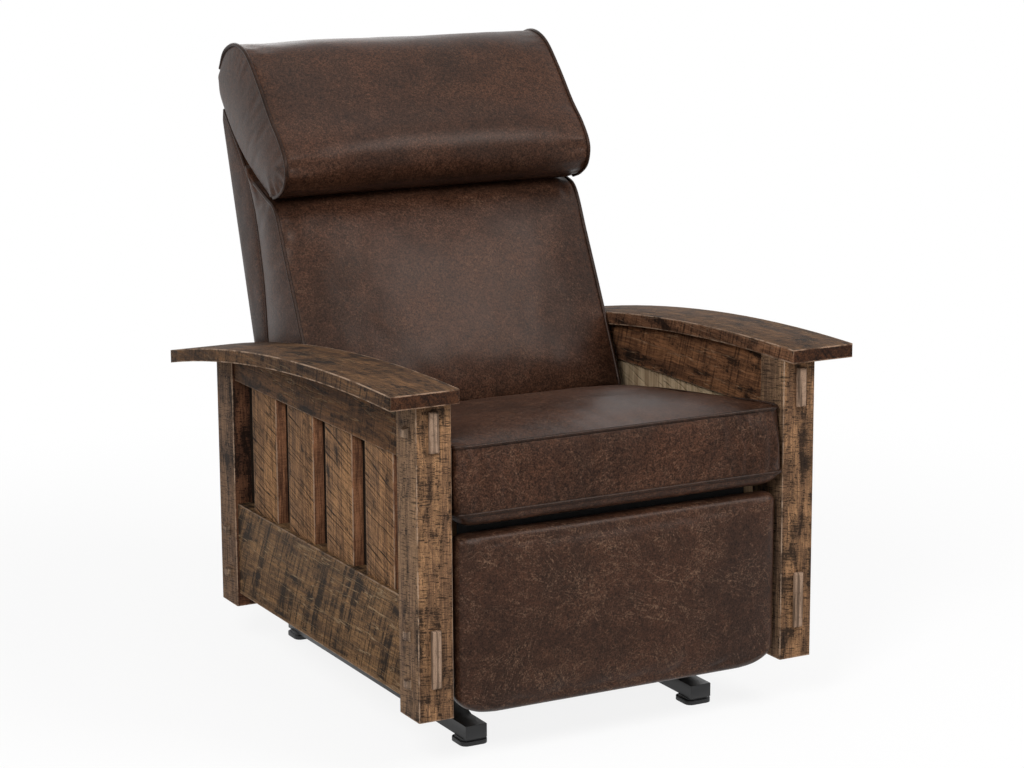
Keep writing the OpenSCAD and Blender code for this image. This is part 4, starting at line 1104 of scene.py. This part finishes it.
def seat_place(u, v, t):
    """A point of the seat cushion; v runs from the front to the rear, t from below to the top.

    In front of the seat box the leather hangs a little below its front seam."""
    front, rear = mix(-13.0, 0.5, t), mix(538.0, 556.0, t)
    bulge = 4.0 * math.sin(math.pi * t)
    half_depth = (rear - front) / 2 + bulge * 0.6
    x, y = rounded(u, v, SEAT_HALF + bulge * 0.5, half_depth, (12, 12), (20, 20))
    y += (front + rear) / 2
    under = mix(SEAT_SEAM_Z, SEAT_REST_Z, step(-13, 45, y))
    if t == 0:
        hung = SEAT_UNDER.at((v + 1) / 2)
        held = 1 - abs(u) ** 34
        return at(x, mix(y, hung.x, held), mix(under, hung.y, held))
    z = mix(under, seat_edge_height(y), t)
    if t == 1:
        z += 10.0 * (1 - abs(u) ** 2.6) * (1 - abs(v) ** 2.6)
    return at(x, y, z)


class RECLINER_OT_seat_cushion(bpy.types.Operator):
    """The boxed seat cushion with its two lines of piping"""

    bl_idname = "recliner.seat_cushion"
    bl_label = "Seat cushion"

    def execute(self, context):
        sizes = context.scene.recliner_cushions
        leather = bpy.data.materials["leather_seat"]
        cord = bpy.data.materials["leather_piping"]
        levels = [0.0, 0.04, 0.12, 0.24, 0.38, 0.5, 0.62, 0.76, 0.88, 0.96, 1.0]
        pad = Pad("seat_cushion_leather", spread(72, 0.45), spread(66, 0.45), levels, seat_place)
        top = [pad.mesh.vertices[i].co.copy() for i in pad.rings[-1]]
        bottom = [pad.mesh.vertices[i].co.copy() for i in pad.rings[0]]

        def reach(u, v, t):
            if t == 0:
                return 0.0
            if t < 1:
                side = 0.003 if abs(u) == 1 else (0.010 if v == -1 else 0.002)
                return side * math.sin(math.pi * t)
            return sizes.seat_swell * (1 - step(0.35, 0.72, v) * 0.86)

        pad.inflate(sewn_round, reach, slack=0.010)
        pad.calm(6, off_edges)
        pad.refine()
        crown = over_face(6, 6)
        pad.ripple(0.0030, (7.0, 7.0, 7.0), lambda u, v, t: crown(u, v, t) if v < 0.5 else 0, 4.0)

        def front_ends(u, v, t):
            if v >= -0.98 or t <= 0 or t >= 1:
                return 0
            share = step(0.45, 0.9, abs(u)) * (1.0 if u > 0 else 0.5)
            return share * math.sin(math.pi * t) ** 0.5

        pad.ripple(0.0085, (36.0, 30.0, 6.0), front_ends, 8.0)
        pad.gather(top, sizes.gathers, 0.014, 0.034,
                   lambda u, v, t: (t > 0.3) * step(0.55, 1.0, abs(u)) * 0.7 * (v < 0.6))
        pad.gather(bottom, sizes.gathers * 0.8, 0.018, 0.030,
                   lambda u, v, t: float(0 < t < 1) * (0.1 + step(0.5, 1.0, abs(u))))
        pad.dress(leather, "seat", "seat_cushion", fill=0.8)
        radius = sizes.piping
        for name, ring in (("top", top), ("bottom", bottom)):
            lift = 0.0006 if name == "top" else 0.0030
            line = []
            for p in ring:
                out = math.copysign(0.001, p.y - ring[0].y) * 0.6
                line.append(Vector((p.x * 1.0025, p.y + out, p.z + lift)))
            piping("seat_piping_" + name, line, radius, cord, "seat", closed=True)
        return {"FINISHED"}


# Outlines of the back's pieces: millimetres up along the back and in front of its rear face
LUMBAR_FRONT = Path([(44, 240), (52, 255), (147.5, 243.2), (245.3, 229), (343.2, 213.2), (428, 199),
                     (458, 168), (497, 119)])
LUMBAR_CORE = 62.5
LUMBAR_REAR = Path([(66, 68), (140, 68), (211, 76), (316, 96), (431, 102), (500, 92), (536, 82)])


def lumbar_place(u, v, t):
    """A point of the lumbar cushion; v runs upwards, t from the rear to the front panel."""
    share = (v + 1) / 2
    rear, face = LUMBAR_REAR.at(share), LUMBAR_FRONT.at(share)
    full = 1 - abs(u) ** 3
    ends = abs(u) ** 14
    fullness = (face.y - LUMBAR_CORE) * (1 + 0.055 * full)
    face = Vector((face.x, LUMBAR_CORE + fullness - 2.0 * ends))
    spot = rear.lerp(face, t)
    bow = math.sin(math.pi * t)
    if v == -1:
        spot.x -= 3.0 * bow
    if v == 1:
        spot.x += 5.0 * bow
    x = u * (CUSHION_HALF + 3.0 * bow * step(0.9, 1.0, abs(u)))
    return on_back(x, spot.x, spot.y)


HEAD_FRONT = Path([(452, 198), (453, 229), (465, 258), (497, 274), (541, 261), (590, 234),
                   (660, 203), (722, 168), (752, 122), (752, 70), (726, 35)])
HEAD_CENTRE = Vector((600.0, 110.0))
HEAD_CORE = 15.0
HEAD_REAR = Path([(463, 178), (510, 124), (561, 77), (614, 42), (674, 16.5), (702, 20)])


def head_place(u, v, t):
    """A point of the head cushion; v runs from the lower edge over the front, t forwards."""
    share = (v + 1) / 2
    rear, face = HEAD_REAR.at(share), HEAD_FRONT.at(share)
    full = 1 - abs(u) ** 3
    face = HEAD_CENTRE + (face - HEAD_CENTRE) * (1 - 0.012 * abs(u) ** 14)
    face = Vector((face.x, HEAD_CORE + (face.y - HEAD_CORE) * (1 + 0.03 * full)))
    spot = rear.lerp(face, t)
    bow = math.sin(math.pi * t)
    x = u * (CUSHION_HALF + 3.5 * bow * step(0.9, 1.0, abs(u)))
    return on_back(x, spot.x, spot.y)


def seam_line(place, u, first=-1.0, last=1.0, count=110, out=0.0):
    """Points of the seam between the front panel and an end."""
    shift = Vector((math.copysign(out, u), 0, 0))
    return [place(u, mix(first, last, i / count), 1.0) + shift for i in range(count + 1)]


class RECLINER_OT_back_cushions(bpy.types.Operator):
    """The lumbar cushion and the rolled head cushion, with piping at their ends"""

    bl_idname = "recliner.back_cushions"
    bl_label = "Back cushions"

    def execute(self, context):
        sizes = context.scene.recliner_cushions
        cord = bpy.data.materials["leather_piping"]
        levels = [0.0, 0.06, 0.16, 0.3, 0.44, 0.58, 0.7, 0.82, 0.92, 0.97, 1.0]
        lumbar = Pad("lumbar_cushion_leather", spread(72, 0.45), spread(64, 0.25), levels,
                     lumbar_place)

        def lumbar_reach(u, v, t):
            if t == 0:
                return 0.0
            if t < 1:
                return (0.004 if abs(u) == 1 else 0.002) * math.sin(math.pi * t)
            return sizes.back_swell * step(-1.0, -0.55, v) * (1 - step(0.45, 0.95, v) * 0.85)

        lumbar.inflate(lambda u, v, t: t == 0 or (t == 1 and (abs(u) == 1 or v == -1)),
                       lumbar_reach, slack=0.010)
        edges = {side: seam_line(lumbar_place, side, -1.0, 1.0, 220) for side in (-1, 1)}
        lumbar.calm(6, off_edges)
        lumbar.refine()
        lumbar.ripple(0.0026, (7.0, 7.0, 7.0), over_face(6, 6), 11.0)
        for side, line in edges.items():
            lumbar.gather(line, sizes.gathers * 1.1, 0.018, 0.040,
                          lambda u, v, t, side=side: (t > 0.5) * (u * side > 0.5)
                          * (0.35 + step(0.5, 0.9, v)))
        lumbar.dress(bpy.data.materials["leather_lumbar"], "back", "lumbar_cushion", fill=0.75)

        head = Pad("head_cushion_leather", spread(72, 0.45), spread(78, 0.15), levels, head_place)

        def head_reach(u, v, t):
            if t == 0:
                return 0.0
            if t < 1:
                return (0.006 if abs(u) == 1 else 0.002) * math.sin(math.pi * t)
            ends = 1 - 0.75 * abs(u) ** 4
            return sizes.back_swell * 0.5 * ends * step(-1.0, -0.55, v) * (1 - step(0.3, 0.9, v))

        head.inflate(sewn_round, head_reach, slack=0.008)
        head.calm(14, off_edges)
        head.refine()
        head.ripple(0.0026, (5.0, 5.0, 5.0), over_face(6, 4), 2.0)
        for side in (-1, 1):
            line = seam_line(head_place, side, -1.0, 1.0, 260)
            head.gather(line, sizes.gathers * 2.4, 0.017, 0.055,
                        lambda u, v, t, side=side: (t > 0.4) * (u * side > 0.4)
                        * (1 - step(0.5, 0.8, v)) * (0.15 + 0.7 * (1 - step(-0.72, -0.30, v))))
        head.dress(bpy.data.materials["leather_head"], "back", "headrest_cushion", fill=0.85)

        for side, word in ((-1, "right"), (1, "left")):
            piping("lumbar_piping_" + word, seam_line(lumbar_place, side, -0.99, 0.99, 110, 0.0010),
                   sizes.piping, cord, "back")
            piping("head_piping_" + word, seam_line(head_place, side, -0.995, 0.995, 130, 0.0010),
                   sizes.piping, cord, "back")
        return {"FINISHED"}


FOOTREST_MIDDLE_Z = 241.0
FOOTREST_HALF_WIDTH = 304.0
FOOTREST_HALF_HEIGHT = 152.0
# Inset from the outline and depth behind the front legs' face, in millimetres
FOOTREST_PROFILE = Path([(9.6, 18.8), (9.4, 25), (9.0, 30), (6.5, 32.6), (3.2, 32.2), (0.8, 29),
                         (0.0, 22), (0.2, 14), (2.4, 6.5), (7.0, 1.4), (14.0, -0.8)])


def footrest_place(u, v, t):
    """A point of the footrest's pad; v runs upwards, t round the board's edge to the front."""
    inset, depth = FOOTREST_PROFILE.at(t)
    low, high = (70 - inset, 38 - inset), (16 - inset, 15 - inset)
    x, z = rounded(u, v, FOOTREST_HALF_WIDTH - inset, FOOTREST_HALF_HEIGHT - inset, low, high)
    if t == 1:
        depth -= 4.5 * (1 - abs(u) ** 4) * (1 - abs(v) ** 4)
    return at(x, depth, FOOTREST_MIDDLE_Z + z)


class RECLINER_OT_footrest_pad(bpy.types.Operator):
    """The footrest's padded front, pulled round the edges of its board"""

    bl_idname = "recliner.footrest_pad"
    bl_label = "Footrest pad"

    def execute(self, context):
        sizes = context.scene.recliner_cushions
        levels = [i / 20 for i in range(21)]
        pad = Pad("footrest_leather", spread(66, 0.5), spread(44, 0.75), levels, footrest_place)

        def reach(u, v, t):
            if t < 0.5:
                return 0.0
            open_share = (1 - abs(u) ** 5) * (1 - abs(v) ** 5) if t == 1 else 0.0
            return sizes.pad_swell * mix(0.12 * step(0.6, 1.0, t), 1.0, open_share)

        pad.inflate(lambda u, v, t: t < 0.62, reach, slack=0.01)
        pad.refine()
        pad.ripple(0.0016, (7.0, 7.0, 7.0), over_face(8, 8), 7.0)
        pad.dress(bpy.data.materials["leather_footrest"], "footrest", "footrest_pad", fill=0.7)
        return {"FINISHED"}


WALL_FOOT, WALL_TOP = 40, 654.5
WALL_INNER, WALL_OUTER = 283.6, 302.5
PANEL_MIDDLE, PANEL_HALF_WIDTH, PANEL_HALF_HEIGHT = 338.5, 282.4, 298.0
PANEL_INNER, PANEL_OUTER = 14.5, 1.5
WALL_FRONT = Path([(40, 60), (69, 63), (140, 66), (211, 74), (316, 94), (431, 100), (500, 92),
                   (544, 77), (600, 49), (654, 20)])


def wall_place(side):
    """A padded side wall of the outer back; u runs forwards, v upwards, t outwards."""

    def place(u, v, t):
        share = (v + 1) / 2
        face = WALL_FRONT.at(share)
        lean = 0.0 if share < 0.97 else mix(0.0, 12.0, (share - 0.97) / 0.03)
        rear = Vector((mix(WALL_FOOT, WALL_TOP, share), lean))
        inset = 7.0 * (1 - math.sin(math.pi * t) ** 0.5) * 0.8
        inward = inset / max(20.0, (face - rear).length)
        spot = rear.lerp(face, mix(inward, 1 - inward, (u + 1) / 2))
        x = mix(WALL_INNER, WALL_OUTER, t)
        if t == 1:
            x += 2.5 * (1 - u ** 4) * (1 - v ** 4)
        return on_back(side * x, spot.x, spot.y)

    return place


def panel_place(u, v, t):
    """The padded rear panel of the outer back; v runs upwards, t to the rear."""
    x, up = rounded(u, v, PANEL_HALF_WIDTH, PANEL_HALF_HEIGHT, (5, 5), (14, 14))
    depth = mix(PANEL_INNER, PANEL_OUTER, t)
    if t == 1:
        depth -= 5.5 * (1 - u ** 4) * (1 - v ** 4) - 0.5
    return on_back(x, PANEL_MIDDLE + up, depth)


class RECLINER_OT_outer_back(bpy.types.Operator):
    """The padded side walls and rear panel behind the cushions, with their piping"""

    bl_idname = "recliner.outer_back"
    bl_label = "Outer back"

    def execute(self, context):
        sizes = context.scene.recliner_cushions
        leather = bpy.data.materials["leather_back"]
        cord = bpy.data.materials["leather_piping"]
        levels = [0.0, 0.06, 0.18, 0.35, 0.5, 0.65, 0.82, 0.94, 1.0]
        for side, word in ((-1, "right"), (1, "left")):
            place = wall_place(side)
            wall = Pad("back_wall_leather_" + word, spread(14, 0.6), spread(70, 0.3), levels, place)
            wall.refine()
            wall.ripple(0.0014, (10.0, 10.0, 10.0),
                        lambda u, v, t: (1 - abs(u) ** 6) if t > 0.99 else 0, 3.0)
            wall.dress(leather, "back", "back_walls", fill=0.35)
            shift = Vector((side * 0.0006, -0.0008, 0))
            line = [place(1.0, mix(-0.98, 0.99, i / 110), 0.93) + shift for i in range(111)]
            piping("back_wall_piping_" + word, line, sizes.piping * 0.85, cord, "back")
        panel = Pad("back_panel_leather", spread(50, 0.5), spread(54, 0.5), levels, panel_place)
        panel.refine()
        panel.ripple(0.0018, (8.0, 8.0, 8.0), over_face(6, 6), 5.0)
        panel.dress(leather, "back", "back_panel", fill=0.35)
        spots = [(-1, mix(-0.99, 1, i / 70)) for i in range(71)]
        spots += [(mix(-1, 1, i / 60), 1) for i in range(1, 60)]
        spots += [(1, mix(1, -0.99, i / 70)) for i in range(71)]
        rim = [panel_place(u, v, 0.97) + Vector((0, 0.0006, 0)) for u, v in spots]
        piping("back_panel_piping", rim, sizes.piping * 0.85, cord, "back")
        return {"FINISHED"}


class RECLINER_OT_leathers(bpy.types.Operator):
    """The leather finishes of the cushions, the outer back and the piping"""

    bl_idname = "recliner.leathers"
    bl_label = "Leather finishes"

    def execute(self, context):
        look = context.scene.recliner_leather
        aged_leather("leather_seat", look, 0.65, gloss=0.14, pebble=1.1)
        aged_leather("leather_lumbar", look, 0.40, long_marks=0.3)
        aged_leather("leather_head", look, 0.30)
        aged_leather("leather_footrest", look, 1.25, long_marks=0.9, pebble=0.8)
        aged_leather("leather_back", look, 0.45, gloss=0.10)
        aged_leather("leather_piping", look, 0.20, tone=0.5)
        return {"FINISHED"}


# ---------------------------------------- stage


WHITE = (1.0, 1.0, 1.0)
FLOOR_SIDE = 9.0
# Focal length in millimetres, place in metres, and yaw, pitch and roll in degrees
CAMERA_LENS = 96.2
CAMERA_PLACE = (-2.2121, -4.2118, 1.5364)
CAMERA_ANGLES = (28.15, 11.976, -0.307)


def soft_light(name, place, aim, size, power):
    """A large, round studio light that points at the chair."""
    lamp = bpy.data.lights.new(name, "AREA")
    lamp.shape = "DISK"
    lamp.size = size
    lamp.energy = power
    holder = add_object(name, lamp)
    holder.location = place
    holder.rotation_euler = (Vector(aim) - Vector(place)).to_track_quat("-Z", "Y").to_euler()


def studio_camera():
    """The photograph's camera, solved from the straight edges of the side frames."""
    lens = bpy.data.cameras.new("studio_camera")
    lens.sensor_width = 36.0
    lens.lens = CAMERA_LENS
    camera = add_object("studio_camera", lens)
    yaw, pitch, roll = (math.radians(angle) for angle in CAMERA_ANGLES)
    level_part = math.cos(pitch)
    forward = Vector((math.sin(yaw) * level_part, math.cos(yaw) * level_part, -math.sin(pitch)))
    level = Vector((math.cos(yaw), -math.sin(yaw), 0.0))
    above = level.cross(forward)
    right = level * math.cos(roll) + above * math.sin(roll)
    top = above * math.cos(roll) - level * math.sin(roll)
    turn = Matrix((right, top, -forward)).transposed().to_4x4()
    camera.matrix_world = Matrix.Translation(CAMERA_PLACE) @ turn
    bpy.context.scene.camera = camera


class RECLINER_OT_stage(bpy.types.Operator):
    """The plain pale floor, the soft studio light and the camera"""

    bl_idname = "recliner.stage"
    bl_label = "Stage"

    def execute(self, context):
        scene = context.scene
        look = scene.recliner_stage
        scene.view_settings.view_transform = "Standard"
        mesh = bpy.data.meshes.new("studio_floor")
        signs = ((-1, -1), (1, -1), (1, 1), (-1, 1))
        corners = [(x * FLOOR_SIDE, y * FLOOR_SIDE, 0) for x, y in signs]
        mesh.from_pydata(corners, [], [(0, 1, 2, 3)])
        floor = add_object("studio_floor", mesh)
        f = Finish("studio_floor")
        seen = f.background_rays()
        matt = f.node("ShaderNodeBsdfDiffuse", None, {"Color": tuple(look.floor), "Roughness": 0.5})
        bright = f.node("ShaderNodeEmission", None, {"Color": WHITE, "Strength": 1.0})
        x, y, _ = f.parts(f.place())
        far = (x * x + y * y).rise(0.8, 5.0)
        share = seen * (0.87 + far * 0.13)
        shown = f.node("ShaderNodeMixShader", None, {0: share, 1: matt, 2: bright})
        f.node("ShaderNodeOutputMaterial", None, {"Surface": shown})
        mesh.materials.append(f.material)

        world = bpy.data.worlds.new("studio")
        scene.world = world
        world.use_nodes = True
        w = Finish("studio", world.node_tree)
        seen = w.background_rays()
        around = w.node("ShaderNodeBackground", None, {"Color": WHITE, "Strength": look.ambient})
        white = w.node("ShaderNodeBackground", None, {"Color": WHITE, "Strength": 1.0})
        both_kinds = w.node("ShaderNodeMixShader", None, {0: seen, 1: around, 2: white})
        w.node("ShaderNodeOutputWorld", None, {"Surface": both_kinds})

        soft_light("key_light", (-2.6, -2.6, 2.7), (0, 0, 0.6), 1.4, look.key)
        soft_light("fill_light", (1.75, -2.6, 3.1), (0, 0, 0.7), 2.0, look.key * 0.95)
        soft_light("top_light", (0.2, -0.2, 3.2), (0, 0, 0.6), 1.8, look.key * 0.12)
        soft_light("rear_light", (0.5, 3.2, 2.2), (0, 0, 0.6), 2.0, look.key * 0.24)
        studio_camera()
        return {"FINISHED"}


# ---------------------------------------- panel and registration


class RECLINER_PT_panel(bpy.types.Panel):
    """Lists the recliner's pieces, sizes and colours"""

    bl_idname = "RECLINER_PT_panel"
    bl_label = "Rocker recliner"
    bl_space_type = "VIEW_3D"
    bl_region_type = "UI"
    bl_category = "Recliner"

    def draw(self, context):
        for label, group in (("Leather", "recliner_leather"), ("Wood", "recliner_wood"),
                             ("Cushions", "recliner_cushions"), ("Stage", "recliner_stage")):
            box = self.layout.box()
            box.label(text=label)
            settings = getattr(context.scene, group)
            for name in settings.__annotations__:
                box.prop(settings, name)
        for operator in OPERATORS:
            self.layout.operator(operator.bl_idname)


GROUPS = {
    "recliner_leather": LeatherLook,
    "recliner_wood": WoodLook,
    "recliner_cushions": CushionSizes,
    "recliner_stage": StageLook,
}

OPERATORS = (
    RECLINER_OT_leathers,
    RECLINER_OT_seat_cushion,
    RECLINER_OT_back_cushions,
    RECLINER_OT_footrest_pad,
    RECLINER_OT_outer_back,
    RECLINER_OT_boards,
    RECLINER_OT_steel,
    RECLINER_OT_inner_wood,
    RECLINER_OT_stage,
)


def register():
    """Adds the recliner's settings, operators and panel to Blender."""
    for name, group in GROUPS.items():
        bpy.utils.register_class(group)
        setattr(bpy.types.Scene, name, bpy.props.PointerProperty(type=group))
    for operator in OPERATORS:
        bpy.utils.register_class(operator)
    bpy.utils.register_class(RECLINER_PT_panel)


def unregister():
    """Takes them out again."""
    bpy.utils.unregister_class(RECLINER_PT_panel)
    for operator in reversed(OPERATORS):
        bpy.utils.unregister_class(operator)
    for name, group in GROUPS.items():
        delattr(bpy.types.Scene, name)
        bpy.utils.unregister_class(group)


def main():
    """Dresses the frame's solids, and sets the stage."""
    register()
    bpy.ops.recliner.leathers()
    bpy.ops.recliner.seat_cushion()
    bpy.ops.recliner.back_cushions()
    bpy.ops.recliner.footrest_pad()
    bpy.ops.recliner.outer_back()
    bpy.ops.recliner.boards()
    bpy.ops.recliner.steel()
    bpy.ops.recliner.inner_wood()
    bpy.ops.recliner.stage()


if __name__ == "__main__":
    main()
